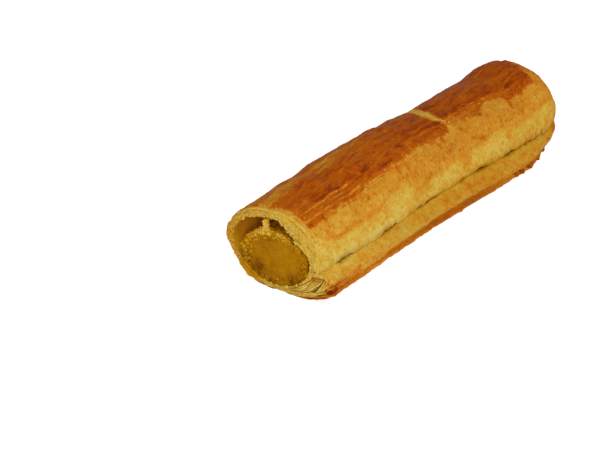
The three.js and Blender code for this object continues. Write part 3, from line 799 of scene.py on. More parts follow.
def crustLook(x, g):
    # gives relief, bake, scorch and painted shade, olive and how leafy the skin is, for grids of x and g
    farG = girth[roofCount - 1]
    over = g > farG / 2  # over the top the far side takes its marks from the near side's rule
    gNear = np.where(over, farG - g - 1.5, g)
    xNear = np.where(over, roll["length"] - x, x)  # so the two sides don't match
    wander = layers(x / 2.6, g / 5, 11, 3)
    slanted = layers((x + 0.9 * g) / 1.7, (x - g) / 7, 41, 3)
    tongues = layers((x + 0.8 * g) / 1.5, (x - g) / 9, 45, 3)
    farther = smooth(xNear, 70, 110)
    glazeEdge = through(crown["glazeEdge"], xNear) + 0.45 * wander + 0.5 * farther * tongues
    bandEdge = through(crown["bandEdge"], xNear) + 0.8 * wander + mix(0.6, 2.4, farther) * tongues
    # the glaze stops short of the shut end, further back the lower it is
    glazeEnd = crown["endsAt"] + crown["endLean"] * smooth(g, 38, 52) + 2.2 * tongues + 0.6 * wander
    ended = smooth(x, glazeEnd - 0.5, glazeEnd + 0.5) * fade(g, 60, 70)
    inBand = smooth(gNear, bandEdge - 0.6, bandEdge + 0.6) * (1 - ended)
    inCrown = smooth(gNear, glazeEdge - 0.4, glazeEdge + 0.4) * (1 - ended)

    def byZone(onSide, onBand, onCrown):
        return mix(mix(onSide, onBand, inBand), onCrown, inCrown)

    sideTone, sideHeight, cracks = sideLook(xNear, gNear, slanted)
    bandTone, bandHeight = bandLook(xNear, gNear, wander)
    crownTone, crownHeight = crownLook(x, g, wander)
    aboveEdge = gNear - glazeEdge
    crownTone = crownTone + 0.09 * hump(aboveEdge, 1.3, 1.5) * smooth(grain(x / 8, 3.5, 34), -0.6, 0.4)
    crownTone = crownTone + 0.05 * fade(aboveEdge, 4, 12)
    sideTone = sideTone + 0.16 * ended * smooth(g, 24, 44)
    bake = byZone(sideTone, bandTone, crownTone)
    height = crown["leaf"] * inCrown + 0.2 * inBand + byZone(sideHeight, bandHeight, crownHeight)

    combs, teeth = combTeeth(xNear, gNear, wander)
    bake = mix(bake, combed["tone"] + 0.15 * teeth, combs * 0.9)
    line, lineTone = crossLineLook(x, g)
    bake = mix(bake, lineTone, line * mix(0.5, 1, smooth(g, 37, 41)))
    height = height + combed["depth"] * combs * teeth - crossLine["depth"] * line * smooth(g, 37, 41)
    rim, rimTone, torn = rimLook(x, g, wander)
    # browner along the torn edge: painted shadow of the broken leaf's step
    bake = mix(bake + 0.2 * torn, rimTone, rim)
    olive, frayedShade = sideOlive(x, g, gNear, slanted)
    # the torn edge's dark line and the frayed strokes at the seam are painted shade
    scorch = 0.35 * cracks * (1 - inBand) + 0.25 * torn * (1 - rim) + 0.3 * frayedShade

    onLip = g <= -1
    lipTone, lipHeight, lipScorchAndShade = lipShades(x, -g, slanted)
    lipOlive = mix(0.06, 0.36, smooth(x, 50, 80)) + 0.34 * smooth(-slanted, 0.05, 0.5)
    lipOlive = lipOlive * (1 - 0.3 * smooth(-g, 12, 18)) * smooth(x, 4, 14)
    seamShadeAndDots, seamOlive = seamMarks(x, g)
    shutRim = mix(0.1 * smooth(x, 216, 226), 0.34 * smooth(x, 210, 221), smooth(-g, 2, 8))
    bake = np.where(onLip, lipTone, bake) + shutRim * (1 - inCrown)
    height = np.where(onLip, lipHeight, height)
    scorch = np.where(onLip, lipScorchAndShade, scorch) + seamShadeAndDots
    olive = np.where(onLip, lipOlive, olive) + seamOlive
    leafy = np.where(onLip, 0.5, byZone(0.42, 0.75, 1)) * (1 - 0.6 * rim) * (1 - 0.7 * line)
    return height, np.clip(bake, 0, 1), np.clip(scorch, 0, 1), np.clip(olive, 0, 1), leafy


# Meshes

def makeMesh(name, points, quads, triangles):
    mesh = bpy.data.meshes.new(name)
    mesh.from_pydata((np.asarray(points) * mm).tolist(), [], list(triangles) + list(quads))
    mesh.polygons.foreach_set("use_smooth", [True] * len(mesh.polygons))
    mesh.update()
    piece = bpy.data.objects.new(name, mesh)
    bpy.context.scene.collection.objects.link(piece)
    return piece


def skinFaces(rows, firstId=0):
    # closed rings with the same count of points, skinned from pole to pole
    rowCount, count = rows.shape[:2]
    start, end = firstId, firstId + rowCount * count + 1
    ids = firstId + 1 + np.arange(rowCount * count).reshape(rowCount, count)
    following = np.roll(ids, -1, 1)
    quads = np.stack([ids[:-1], ids[1:], following[1:], following[:-1]], -1).reshape(-1, 4).tolist()
    first = [(start, int(a), int(b)) for a, b in zip(ids[0], following[0])]
    last = [(end, int(b), int(a)) for a, b in zip(ids[-1], following[-1])]
    return first + last, quads


def skin(name, rows, startPole, endPole):
    points = np.concatenate([[startPole], rows.reshape(-1, 3), [endPole]])
    triangles, quads = skinFaces(rows)
    return makeMesh(name, points, quads, triangles)


def wrapUv(piece, name, rows, girthShare):
    # one flat map for the whole skin: along the rows one way, round them the other
    # gives the whole way along in mm
    along = np.concatenate([[0], np.cumsum(np.linalg.norm(np.diff(rows, axis=0), axis=2).mean(1))])
    longWay = float(along[-1])
    along = (along + 1) / (longWay + 2)  # with a millimetre for each pole
    around = np.concatenate([girthShare, [1.0]])
    before, after = around[:-1], around[1:]
    caps = []
    for pole, row, first, second in ((0, along[0], before, after), (1, along[-1], after, before)):
        for a, b in zip(first, second):
            caps += [(pole, (a + b) / 2), (row, a), (row, b)]
    x0, g0 = np.meshgrid(along[:-1], around[:-1], indexing="ij")
    x1, g1 = np.meshgrid(along[1:], around[1:], indexing="ij")
    corners = [np.stack(corner, -1) for corner in ((x0, g0), (x1, g0), (x1, g1), (x0, g1))]
    flat = np.concatenate([np.array(caps), np.stack(corners, 2).reshape(-1, 2)])
    piece.data.uv_layers.new(name=name).data.foreach_set("uv", flat.astype(np.float32).ravel())
    return longWay


def paint(piece, name, values):
    layer = piece.data.attributes.new(name, "FLOAT", "POINT")
    layer.data.foreach_set("value", np.asarray(values, np.float32).ravel())


def paintSkin(piece, name, grid, atPoles):
    paint(piece, name, np.concatenate([[atPoles], np.ravel(grid), [atPoles]]))


def pushOut(rows, heights):
    # moves each point along the grid's own normal
    rows = np.asarray(rows)
    along = np.gradient(rows, axis=0)
    around = np.roll(rows, -1, 1) - np.roll(rows, 1, 1)
    normal = np.cross(along, around)
    normal /= np.linalg.norm(normal, axis=2, keepdims=True) + 1e-9
    return rows + normal * np.asarray(heights)[..., None]


# The pastry

shutFace = {"from": 224, "to": 236, "tone": 0.4, "blots": 0.16, "fineBlots": 0.1, "rough": 0.5}
baseLook = {"tone": 0.58, "blots": 0.14}
rimLooks = {"nearPaler": 0.1, "farPaler": 0.42, "olive": 0.5, "charred": 0.75}  # the skin right at the cut
cutTones = {
    "tone": 0.14,
    "outer": (0.12, 0.03),  # browner at the outer rim: on the roof, and on the lip's side
    "farSide": 0.13,
    "low": (0.05, 0.26),  # browner below: on the far half, and on the lip's half
    "browned": (0.1, 0.34),  # and once more at the low outer rim
    # browner behind the sprung leaves and dark in the slits: painted shade
    "sprung": 0.15,
    "slitShade": 0.8,
    "charred": 0.75,
    "olive": 0.26,
}
cavityLook = {"rough": 0.3, "tone": 0.1, "deepPaintedLight": 0.55, "blots": 0.1}
loosened = {"atLeaf": 1.0, "atGlaze": 0.8, "atBand": 0.7, "onLip": 0.35}  # how many flakes come off

# Shares of the way round at the cut, between nought and one
column = np.arange(columnCount)
isBase = (column >= roofCount - 6) & (column < lipFirst)
nearHalf = smooth(column, roofCount + 2, mix(roofCount, lipFirst, 0.6))
lowWall = band(cavityDegrees % 360, 230, 304, 6)
charredSpots = smooth(layers(girth / 1.5, 3.3, 96, 2), -0.3, 0.15)
cavityDepths = np.concatenate([np.arange(1.2, 24, 1.9), np.linspace(28, filling["reach"] + 0.6, 9)])[::-1]


def outsideRows(cutEdge):
    # the skin from the cut to the shut end, with x measured along the surface, and g
    shut = [shutEndRow(turn) for turn in np.linspace(0, 0.5 * math.pi, shutEnd["rows"] + 1)[:-1]]
    rows = np.array([cutEdge] + [place(x, *outerSection(x)) for x in stations] + [row for _, row in shut])
    xs = np.concatenate([[cutLook["roundOff"]], stations, [x for x, _ in shut]])
    x = np.repeat(xs[:, None], columnCount, 1)
    steps = np.linalg.norm(np.diff(rows, axis=0), axis=2)
    run = np.concatenate([np.zeros((1, columnCount)), np.cumsum(steps, 0)])
    late = len(stations) + 1  # from here the rows are the shut end's
    x[late:] = x[late - 1] + (run[late:] - run[late - 1])
    return rows, xs, x, np.repeat(aboveSeam[None, :], len(xs), 0)


def bakeOutside(rows, xs, x, g):
    # pushes the relief out of the rows, and gives what is painted on them
    height, bake, scorch, olive, leafy = crustLook(x, g)
    seamSide = smooth(np.abs(aboveSeam + 4), 4, 6)  # no relief inside the seam
    underSide = np.where(onRoof, fade(girth, girth[roofCount - 1] - 8, girth[roofCount - 1]), 1)
    underSide[roofCount:lipFirst] = 0
    height = height * (seamSide * underSide)[None, :] * smooth(xs, 0.5, 2)[:, None]
    # on the shut end's face the marks follow the face and don't run in to its middle
    facing = smooth(x, shutFace["from"], shutFace["to"])
    y, z = rows[..., 1], rows[..., 2]
    blots = layers(y / 7, z / 7, 58, 3)
    faceTone = shutFace["tone"] + 0.12 * smooth(z, 26, 40) + shutFace["blots"] * blots
    faceTone = faceTone + shutFace["fineBlots"] * layers(y / 1.6, z / 1.6, 59, 2)
    height = mix(height, shutFace["rough"] * layers(y / 3, z / 3, 57, 3), facing)
    bake, scorch, leafy = mix(bake, faceTone, facing), mix(scorch, 0, facing), mix(leafy, 0.5, facing)
    olive = np.clip(mix(olive, 0.1 - 0.3 * blots, facing), 0, 1)
    pushed = pushOut(rows, height)
    pushed[0] = rows[0]
    pushed[..., 2] = np.maximum(pushed[..., 2], 0)

    baseSpots = layers(x[:, isBase] / 9, np.flatnonzero(isBase)[None, :] / 3, 95)
    bake[:, isBase] = baseLook["tone"] + baseLook["blots"] * baseSpots
    farOrBase = np.maximum(smooth(aboveSeam, 70, 80), isBase)
    byCut = fade(xs, 1.5, 4.5)[:, None]
    bake -= byCut * farOrBase * mix(rimLooks["nearPaler"], rimLooks["farPaler"], 1 - nearHalf * isBase)
    olive += rimLooks["olive"] * byCut * farOrBase
    charred = fade(xs, 1.2, 2.6)[:, None] * lowWall * charredSpots
    burnt = sum(hump(x, at, 0.9) * hump(-g, down, 0.9) for at, down in lipLook["burntAt"])
    scorch = np.clip(scorch + rimLooks["charred"] * charred, 0, 1)
    scorch = np.maximum(scorch, 0.8 * np.minimum(1, burnt))
    flakes = loosened["atLeaf"] * hump(x, leafEdge(columnDegrees)[None, :] + 1, 1.2) * band(g, 22, 60, 3)
    flakes = flakes + loosened["atGlaze"] * hump(g, through(crown["glazeEdge"], x), 1.2)
    flakes = flakes + loosened["atBand"] * hump(g, through(crown["bandEdge"], x) + 1, 1.5)
    flakes = flakes + loosened["onLip"] * hump(-g, 19.6, 1.0)
    looks = {"bake": bake, "scorch": scorch, "olive": olive, "leafy": leafy}
    return pushed, {**looks, "flakes": flakes, "burnt": burnt}


def bakeCut(share, slit, sprung):
    # one ring of the cut, counted from the cavity: pale leaves, browner low down and at the outer rim, with
    # painted shade in the open slits and in the hollow behind the sprung leaves
    look = cutTones
    low = band(column, roofCount - 8, lipFirst + 7, 7) * smooth(share, 0.6, 0.95)
    # darker and olive low on the far side of the cut: painted shade
    farLow = band(cavityDegrees % 360, 194, 244, 8) * fade(share, 0.75, 0.92)
    lipSide = np.where(onRoof, fade(girth, 12, 20), column > lipFirst + 12)
    farSide = smooth(aboveSeam, 66, 80) * (1 - low)
    bake = look["tone"] + mix(*look["outer"], lipSide) * smooth(share, 0.65, 1) + 0.03 * fade(share, 0, 0.12)
    bake = bake + look["farSide"] * farSide
    bake = bake + 0.08 * layers(girth / 2.4, share * 9, 91) + 0.05 * layers(girth / 0.9, share * 20, 92)
    browned = smooth(share + 0.05 * layers(girth / 2, 1.1, 97, 2), 0.86, 0.94)
    bake = bake + low * mix(*look["low"], nearHalf) + low * browned * mix(*look["browned"], nearHalf)
    # browner in the hollow behind the sprung leaves: painted shade
    bake = bake + look["sprung"] * sprung + 0.1 * farLow - 0.14 * farSide * smooth(share, 0.8, 0.95)
    charred = lowWall * smooth(share + 0.05 * layers(girth / 1.2, 2.2, 98, 2), 0.78, 0.88) * charredSpots
    # dark in the open slits and behind the sprung leaves: painted shade; the charred spots are scorch
    scorch = np.clip(look["slitShade"] * slit + 0.15 * sprung + look["charred"] * charred, 0, 1)
    olive = 0.04 + look["olive"] * smooth(layers(girth / 3, share * 5, 94), -0.2, 0.6)
    olive = olive + 0.3 * low + 0.7 * farLow
    torn = smooth(gapAt(0.0, cavityDegrees), 0.0, 1.5)  # where the cavity has a roof to crumble
    crumbs = fade(share, 0.1, 0.55) * (0.15 + 0.85 * torn) * (1 - sprung)
    return {"bake": bake, "scorch": scorch, "olive": olive, "crumbs": crumbs}


def steamCavity():
    # brown deep inside, brighter and redder deeper in, partly painted light that lifts the cavity's shade;
    # golden by the cut and on the far side
    farWall = smooth(aboveSeam, 62, 76) * fade(aboveSeam, 95, 110)
    deep = smooth(cavityDepths[:, None] - 2.5 * farWall, 1, 8)
    blots = layers(girth[None, :] / 6, np.arange(len(cavityDepths))[:, None] / 1.5, 93)
    return cavityLook["tone"] + cavityLook["deepPaintedLight"] * deep + cavityLook["blots"] * blots


def makePastry():
    cavity = [cavityRow(x, cavityLook["rough"]) for x in cavityDepths]
    *cut, (cutEdge, _, _) = cutRows()
    outside, onOutside = bakeOutside(*outsideRows(cutEdge))
    rows = np.concatenate([cavity, [row for row, _, _ in cut], outside])
    cavityPole = (filling["reach"] + 1.6 + cutX, roll["middleY"] - filling["centreU"], fillingMiddle)
    shutPole = place(roll["length"], 0.0, shutEnd["height"]) - (shutEnd["creaseDepth"], 0, 0)
    piece = skin("pastryCrust", rows, cavityPole, shutPole)
    longWay = wrapUv(piece, "crustMap", rows, girth / girthAll)

    cutFrom, outsideFrom = len(cavity), len(cavity) + len(cut)
    looks, spots = ("bake", "scorch", "olive", "leafy"), ("crumbs", "flakes", "burnt")
    painted = {name: np.zeros(rows.shape[:2]) for name in looks + spots}
    painted["bake"][:cutFrom] = steamCavity()
    for k, (_, slit, sprung) in enumerate(cut):
        for name, values in bakeCut(k / len(cut), slit, sprung).items():
            painted[name][cutFrom + k] = values
    for name, values in onOutside.items():
        painted[name][outsideFrom:] = values
    for name, values in painted.items():
        paintSkin(piece, name, values, 0.4 if name in looks else 0)

    # each ring of faces takes its material from the row that it starts at
    ring = np.zeros(len(rows) - 1, int)
    ring[:cutFrom], ring[cutFrom:outsideFrom] = 2, 1
    caps = np.repeat([2, 0], columnCount)
    for material in (crustMaterial(longWay, girthAll), cutMaterial(), cavityMaterial()):
        piece.data.materials.append(material)
    materialOf = np.concatenate([caps, np.repeat(ring, columnCount)])
    piece.data.polygons.foreach_set("material_index", materialOf.astype(np.int32))
    loose = flakeMaterial()
    scatter("cutCrumbs", piece, "crumbs", crumb, piece.data.materials[1], "bake", "pastry")
    scatter("looseFlakes", piece, "flakes", flake, loose, "bake", "pastry")
    scatter("burntCrumbs", piece, "burnt", burntCrumb, loose, "bake", "pastry")
    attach(piece, "root")
    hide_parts("pastry")
    print("pastry:", len(rows), "rows of", columnCount)


# The thin leaves that have sprung apart where the lip meets the base sheet at the cut

def sprungLeaf(k, line):
    # a thin sheet standing on its line, its front edge broken unevenly
    shares = np.linspace(0, 1, len(line))
    direction = np.gradient(line, axis=0)
    direction /= np.linalg.norm(direction, axis=1, keepdims=True)
    outward = np.stack([-direction[:, 1], direction[:, 0]], -1)
    middle = line + outward * (fan["waver"] * layers(shares * 4, k * 1.9, 125, 2))[:, None]
    ends = np.sin(np.pi * (0.05 + 0.9 * shares)) ** 0.6
    half = fan["thickness"] / 2 * ends * (1 + 0.45 * layers(shares * 5, k * 1.1, 126, 2))
    front = -fan["proud"] * ends * (0.55 + 0.6 * layers(shares * 6, k * 3.1, 127, 2)) + 0.5
    rings = []
    for (u, z), (su, sz), h, f in zip(middle, outward, half, front):
        section = ((fan["deep"], 1), (f + 0.9, 1), (f, 0.4), (f, -0.4), (f + 0.9, -1), (fan["deep"], -1))
        rings.append([
            place(0.0, u + su * h * across, max(z + sz * h * across, 0.1)) + np.array([along, 0, 0])
            for along, across in section
        ])
    return np.array(rings)


def makeFan():
    points, triangles, quads, tones = [], [], [], []
    # the browner back of each leaf is painted shade in the gaps between the leaves
    depth = np.array([0.3, 0.08, 0, 0, 0.08, 0.3])  # browner behind the front edge
    for k, line in enumerate(fanLines):
        rings = sprungLeaf(k, line)
        caps, sides = skinFaces(rings, len(points))
        triangles += caps
        quads += sides
        points += [rings[0].mean(0), *rings.reshape(-1, 3), rings[-1].mean(0)]
        shares = np.linspace(0, 1, len(rings))
        tone = 0.02 + 0.1 * abs(grain(k * 1.9, 0.5, 128)) + 0.16 * shares ** 3
        tone = tone + 0.1 * layers(shares * 6, k, 129, 2)
        tones += [tone[0], *(tone[:, None] + depth).ravel(), tone[-1]]
    piece = makeMesh("sprungLeaves", points, quads, triangles)
    paint(piece, "bake", tones)
    piece.data.materials.append(bpy.data.materials["cutLeaves"])
    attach(piece, "root")
    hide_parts("pastry")
    print("sprung leaves:", len(fanLines))


# Node trees, for the scattered bits and the materials alike

def feed(tree, socket, value):
    # a socket takes a constant, or what another socket gives
    if isinstance(value, bpy.types.NodeSocket):
        tree.links.new(value, socket)
    else:
        socket.default_value = value


def add(tree, kind, inputs=None, **settings):
    node = tree.nodes.new(kind)
    for key, value in settings.items():
        setattr(node, key, value)
    for key, value in (inputs or {}).items():
        feed(tree, node.inputs[key], value)
    return node


def maths(tree, operation, *values):
    return add(tree, "ShaderNodeMath", dict(enumerate(values)), operation=operation).outputs[0]


def vectorMaths(tree, operation, first, second):
    # the second is a plain number where the first is scaled
    inputs = {0: first, "Scale" if operation == "SCALE" else 1: second}
    return add(tree, "ShaderNodeVectorMath", inputs, operation=operation).outputs["Vector"]


def total(tree, *values):
    result = values[0]
    for value in values[1:]:
        result = maths(tree, "ADD", result, value)
    return result


def swing(tree, source, amount, middle=0.5):
    # how far a noise is from its middle, scaled
    return maths(tree, "MULTIPLY", maths(tree, "SUBTRACT", source, middle), amount)


# Loose bits, set out by Geometry Nodes on the spots painted for them: sizes in mm, density for each square mm

halfTurn = 3.14
clump = {"shape": "lump", "density": 0.5, "smallest": 1.3, "largest": 2.6, "flatness": 0.8, "seed": 13,
         "palest": 0.05, "brownest": 0.4, "tilt": halfTurn, "roughness": 0.6}
granule = {"shape": "lump", "density": 1.5, "smallest": 0.6, "largest": 1.6, "flatness": 0.8, "seed": 3,
           "palest": -0.05, "brownest": 0.34, "tilt": halfTurn, "roughness": 0.3}
crumb = {"shape": "lump", "density": 1.5, "smallest": 0.7, "largest": 2.2, "flatness": 0.75, "seed": 5,
         "palest": -0.12, "brownest": 0.1, "tilt": halfTurn, "roughness": 0.4}
flake = {"shape": "leaf", "density": 0.22, "smallest": 0.9, "largest": 2.4, "flatness": 0.1, "seed": 8,
         "palest": -0.2, "brownest": 0.05, "tilt": 0.16, "roughness": 0.5}
burntCrumb = {"shape": "lump", "density": 2.0, "smallest": 2.0, "largest": 4.0, "flatness": 0.8, "seed": 9,
              "palest": 0.3, "brownest": 0.5, "tilt": halfTurn, "roughness": 0.5}


def scatterTree(name, kind, material, toneName, spotsName):
    # sizes come in through the tree's named inputs, in mm; density is for each square mm
    tree = bpy.data.node_groups.new(name, "GeometryNodeTree")
    tree.interface.new_socket("Geometry", in_out="INPUT", socket_type="NodeSocketGeometry")
    for label in ("Density", "Smallest", "Largest", "Flatness", "Palest", "Brownest", "Tilt", "Roughness"):
        tree.interface.new_socket(label, in_out="INPUT", socket_type="NodeSocketFloat")
    tree.interface.new_socket("Seed", in_out="INPUT", socket_type="NodeSocketInt")
    tree.interface.new_socket("Geometry", in_out="OUTPUT", socket_type="NodeSocketGeometry")
    given = tree.nodes.new("NodeGroupInput").outputs

    def chance(low, high, seedShift):
        # by number, because the node has these sockets once for each kind of value
        inputs = {2: low, 3: high, "Seed": maths(tree, "ADD", given["Seed"], seedShift)}
        return add(tree, "FunctionNodeRandomValue", inputs, data_type="FLOAT").outputs[1]

    def painted(attributeName):
        node = add(tree, "GeometryNodeInputNamedAttribute", {"Name": attributeName}, data_type="FLOAT")
        return node.outputs["Attribute"]

    forEachMetre = maths(tree, "MULTIPLY", given["Density"], 1 / mm ** 2)
    density = maths(tree, "MULTIPLY", painted(spotsName), forEachMetre)
    points = add(tree, "GeometryNodeDistributePointsOnFaces", {
        "Mesh": given["Geometry"], "Density": density, "Seed": given["Seed"],
    }, distribute_method="RANDOM")
    if kind == "lump":
        shape = add(tree, "GeometryNodeMeshIcoSphere", {"Radius": 0.5 * mm, "Subdivisions": 1})
    else:
        shape = add(tree, "GeometryNodeMeshCylinder", {"Vertices": 7, "Radius": 0.5 * mm, "Depth": mm})
    tilts = [chance(maths(tree, "MULTIPLY", given["Tilt"], -1.0), given["Tilt"], shift) for shift in (11, 12)]
    about = chance(-halfTurn, halfTurn, 13)
    spin = add(tree, "ShaderNodeCombineXYZ", {"X": tilts[0], "Y": tilts[1], "Z": about})
    spin = add(tree, "FunctionNodeEulerToRotation", {"Euler": spin.outputs["Vector"]})
    turned = add(tree, "FunctionNodeRotateRotation", {
        "Rotation": points.outputs["Rotation"], "Rotate By": spin.outputs["Rotation"],
    }, rotation_space="LOCAL")
    size = chance(given["Smallest"], given["Largest"], 14)
    sizes = add(tree, "ShaderNodeCombineXYZ", {
        "X": size,
        "Y": maths(tree, "MULTIPLY", size, chance(0.45, 1.0, 15)),
        "Z": maths(tree, "MULTIPLY", size, given["Flatness"]),
    })
    placed = add(tree, "GeometryNodeInstanceOnPoints", {
        "Points": points.outputs["Points"], "Instance": shape.outputs["Mesh"],
        "Rotation": turned.outputs["Rotation"], "Scale": sizes.outputs["Vector"],
    })
    tone = maths(tree, "ADD", painted(toneName), chance(given["Palest"], given["Brownest"], 16))
    toned = add(tree, "GeometryNodeStoreNamedAttribute", {
        "Geometry": placed.outputs["Instances"], "Name": toneName, "Value": tone,
    }, data_type="FLOAT", domain="INSTANCE")
    real = add(tree, "GeometryNodeRealizeInstances", {"Geometry": toned.outputs["Geometry"]})

    # each bit is pushed out of shape by a noise
    bumpy = add(tree, "ShaderNodeTexNoise", {"Scale": 900.0, "Detail": 2.0}).outputs["Color"]
    centred = vectorMaths(tree, "SUBTRACT", bumpy, (0.5, 0.5, 0.5))
    push = vectorMaths(tree, "SCALE", centred, maths(tree, "MULTIPLY", given["Roughness"], 3 * mm))
    moved = add(tree, "GeometryNodeSetPosition", {
        "Geometry": real.outputs["Geometry"], "Offset": push,
    })
    dressed = add(tree, "GeometryNodeSetMaterial", {
        "Geometry": moved.outputs["Geometry"], "Material": material,
    })
    add(tree, "NodeGroupOutput", {"Geometry": dressed.outputs["Geometry"]})
    return tree


def scatter(name, host, spotsName, look, material, toneName, nodeName):
    tree = scatterTree(name + "Tree", look["shape"], material, toneName, spotsName)
    carrier = bpy.data.objects.new(name + "Carrier", host.data)
    bpy.context.scene.collection.objects.link(carrier)
    modifier = carrier.modifiers.new(name, "NODES")
    modifier.node_group = tree
    for item in tree.interface.items_tree:
        if item.in_out == "INPUT" and item.name.lower() in look:
            modifier[item.identifier] = look[item.name.lower()]
    seen = bpy.context.evaluated_depsgraph_get()
    mesh = bpy.data.meshes.new_from_object(carrier.evaluated_get(seen), depsgraph=seen)
    carrier.modifiers.remove(modifier)
    bpy.data.objects.remove(carrier)
    host.data.attributes.remove(host.data.attributes[spotsName])
    piece = bpy.data.objects.new(name, mesh)
    bpy.context.scene.collection.objects.link(piece)
    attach(piece, "root")
    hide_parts(nodeName)
    print(name + ":", len(mesh.polygons), "faces")


# Materials: noise scales are for each metre, and on the crust's flat map for each mm

crustFinish = {
    "colours": (  # bake tone, colour
        (0.00, (201, 177, 88)),
        (0.16, (197, 161, 60)),
        (0.32, (196, 134, 36)),
        (0.46, (188, 114, 24)),
        (0.60, (178, 90, 6)),
        (0.74, (170, 79, 3)),
        (0.88, (152, 62, 2)),
        (1.00, (120, 44, 3)),
    ),
    "olive": (170, 120, 0),
    # the dark brown used for scorch, and for painted shade in slits, gaps and the seam
    "scorch": (84, 40, 8),
    "specks": 0.38,  # these are how much each noise changes the tone
    "clouds": 0.13,
    "streaks": 0.26,
    "broadLeaves": 0.17,
    "fineLeaves": 0.13,
    # pale lines along the leaves' edges are painted highlights, and where darker they are painted shade
    "leafEdgeLight": -0.85,
    "dashes": 0.34,
    "palerDashes": 0.14,
    "dull": 0.7,  # roughness where pale, and where browned
    "glazed": 0.45,
    "specular": 0.014,
    "coat": {"Coat Weight": 0.12, "Coat Roughness": 0.45, "Coat IOR": 1.25},
}
cutFinish = {"crumbs": 0.3, "lumps": 0.22, "roughness": 0.75, "specular": 0.02}
cavityFinish = {
    # the deepest stop, brighter and redder, is partly painted light for the shaded inside
    "colours": ((0.05, (188, 140, 22)), (0.3, (204, 136, 16)), (0.6, (240, 156, 34))),
    "blots": 0.3, "roughness": 0.6, "specular": 0.02,
}
flakeFinish = {"specks": 0.3, "roughness": 0.7, "specular": 0.01}
pasteFinish = {
    "colours": (
        (0.0, (98, 55, 2)),
        (0.15, (132, 83, 2)),
        (0.35, (158, 107, 3)),
        (0.62, (180, 132, 18)),
        (1.0, (208, 168, 66)),
    ),
    "grains": 0.32, "clouds": 0.35, "roughness": 0.7, "specular": 0.02,
}


def linear(rgb):
    parts = [c / 255 for c in rgb]
    return tuple(c / 12.92 if c <= 0.04045 else ((c + 0.055) / 1.055) ** 2.4 for c in parts) + (1.0,)


def newMaterial(name):
    material = bpy.data.materials.new(name)
    material.use_nodes = True
    return material, material.node_tree, material.node_tree.nodes["Principled BSDF"]


def ownPlace(tree):
    return add(tree, "ShaderNodeTexCoord").outputs["Object"]


def ramp(tree, tone, stops):
    node = add(tree, "ShaderNodeValToRGB", {"Fac": tone})
    elements = node.color_ramp.elements
    while len(elements) < len(stops):
        elements.new(0.5)
    for element, (position, colour) in zip(elements, stops):
        element.position = position
        element.color = linear(colour)
    return node.outputs["Color"]


def noise(tree, vector, scale, detail=3.0, roughness=0.55):
    inputs = {"Vector": vector, "Scale": scale, "Detail": detail, "Roughness": roughness}
    return add(tree, "ShaderNodeTexNoise", inputs).outputs["Fac"]


def cells(tree, vector, scale, **settings):
    inputs = {"Vector": vector, "Scale": scale, "Randomness": 1.0}
    return add(tree, "ShaderNodeTexVoronoi", inputs, **settings)


def stretched(tree, source, scale):
    return add(tree, "ShaderNodeMapping", {"Vector": source, "Scale": scale}).outputs["Vector"]


def ranged(tree, source, fromLow, fromHigh, toLow, toHigh):
    inputs = {"Value": source, "From Min": fromLow, "From Max": fromHigh, "To Min": toLow, "To Max": toHigh}
    return add(tree, "ShaderNodeMapRange", inputs).outputs["Result"]


def attribute(tree, name):
    return add(tree, "ShaderNodeAttribute", attribute_name=name).outputs["Fac"]


def surface(tree, shader, colour, roughness, specular):
    for name, value in (("Base Color", colour), ("Roughness", roughness), ("Specular IOR Level", specular)):
        feed(tree, shader.inputs[name], value)


def bump(tree, shader, height, strength, distance):
    node = add(tree, "ShaderNodeBump", {"Height": height, "Strength": strength, "Distance": distance * mm})
    tree.links.new(node.outputs["Normal"], shader.inputs["Normal"])


def crustTone(tree, swings):
    # the painted tone with finer variation over it, as a number and as a colour; swings are added to it
    tone = total(tree, attribute(tree, "bake"), *swings)
    colour = ramp(tree, tone, crustFinish["colours"])
    for name in ("olive", "scorch"):
        inputs = {"Factor": attribute(tree, name), "A": colour, "B": linear(crustFinish[name])}
        colour = add(tree, "ShaderNodeMix", inputs, data_type="RGBA").outputs["Result"]
    return tone, colour


def leafCells(tree, inMm, length, width, warp):
    # scales of crust: a random value for each one, and a line along their edges
    wave = add(tree, "ShaderNodeTexNoise", {"Vector": inMm, "Scale": 0.35, "Detail": 3.0, "Roughness": 0.6})
    centred = vectorMaths(tree, "SUBTRACT", wave.outputs["Color"], (0.5, 0.5, 0.5))
    moved = vectorMaths(tree, "ADD", inMm, vectorMaths(tree, "SCALE", centred, warp))
    spread = stretched(tree, moved, (1 / length, 1 / width, 1))
    each = cells(tree, spread, 1.0, voronoi_dimensions="2D", feature="F1").outputs["Color"]
    edges = cells(tree, spread, 1.0, voronoi_dimensions="2D", feature="DISTANCE_TO_EDGE").outputs["Distance"]
    value = add(tree, "ShaderNodeSeparateColor", {"Color": each}).outputs["Red"]
    return value, ranged(tree, edges, 0, 0.09, 1, 0)


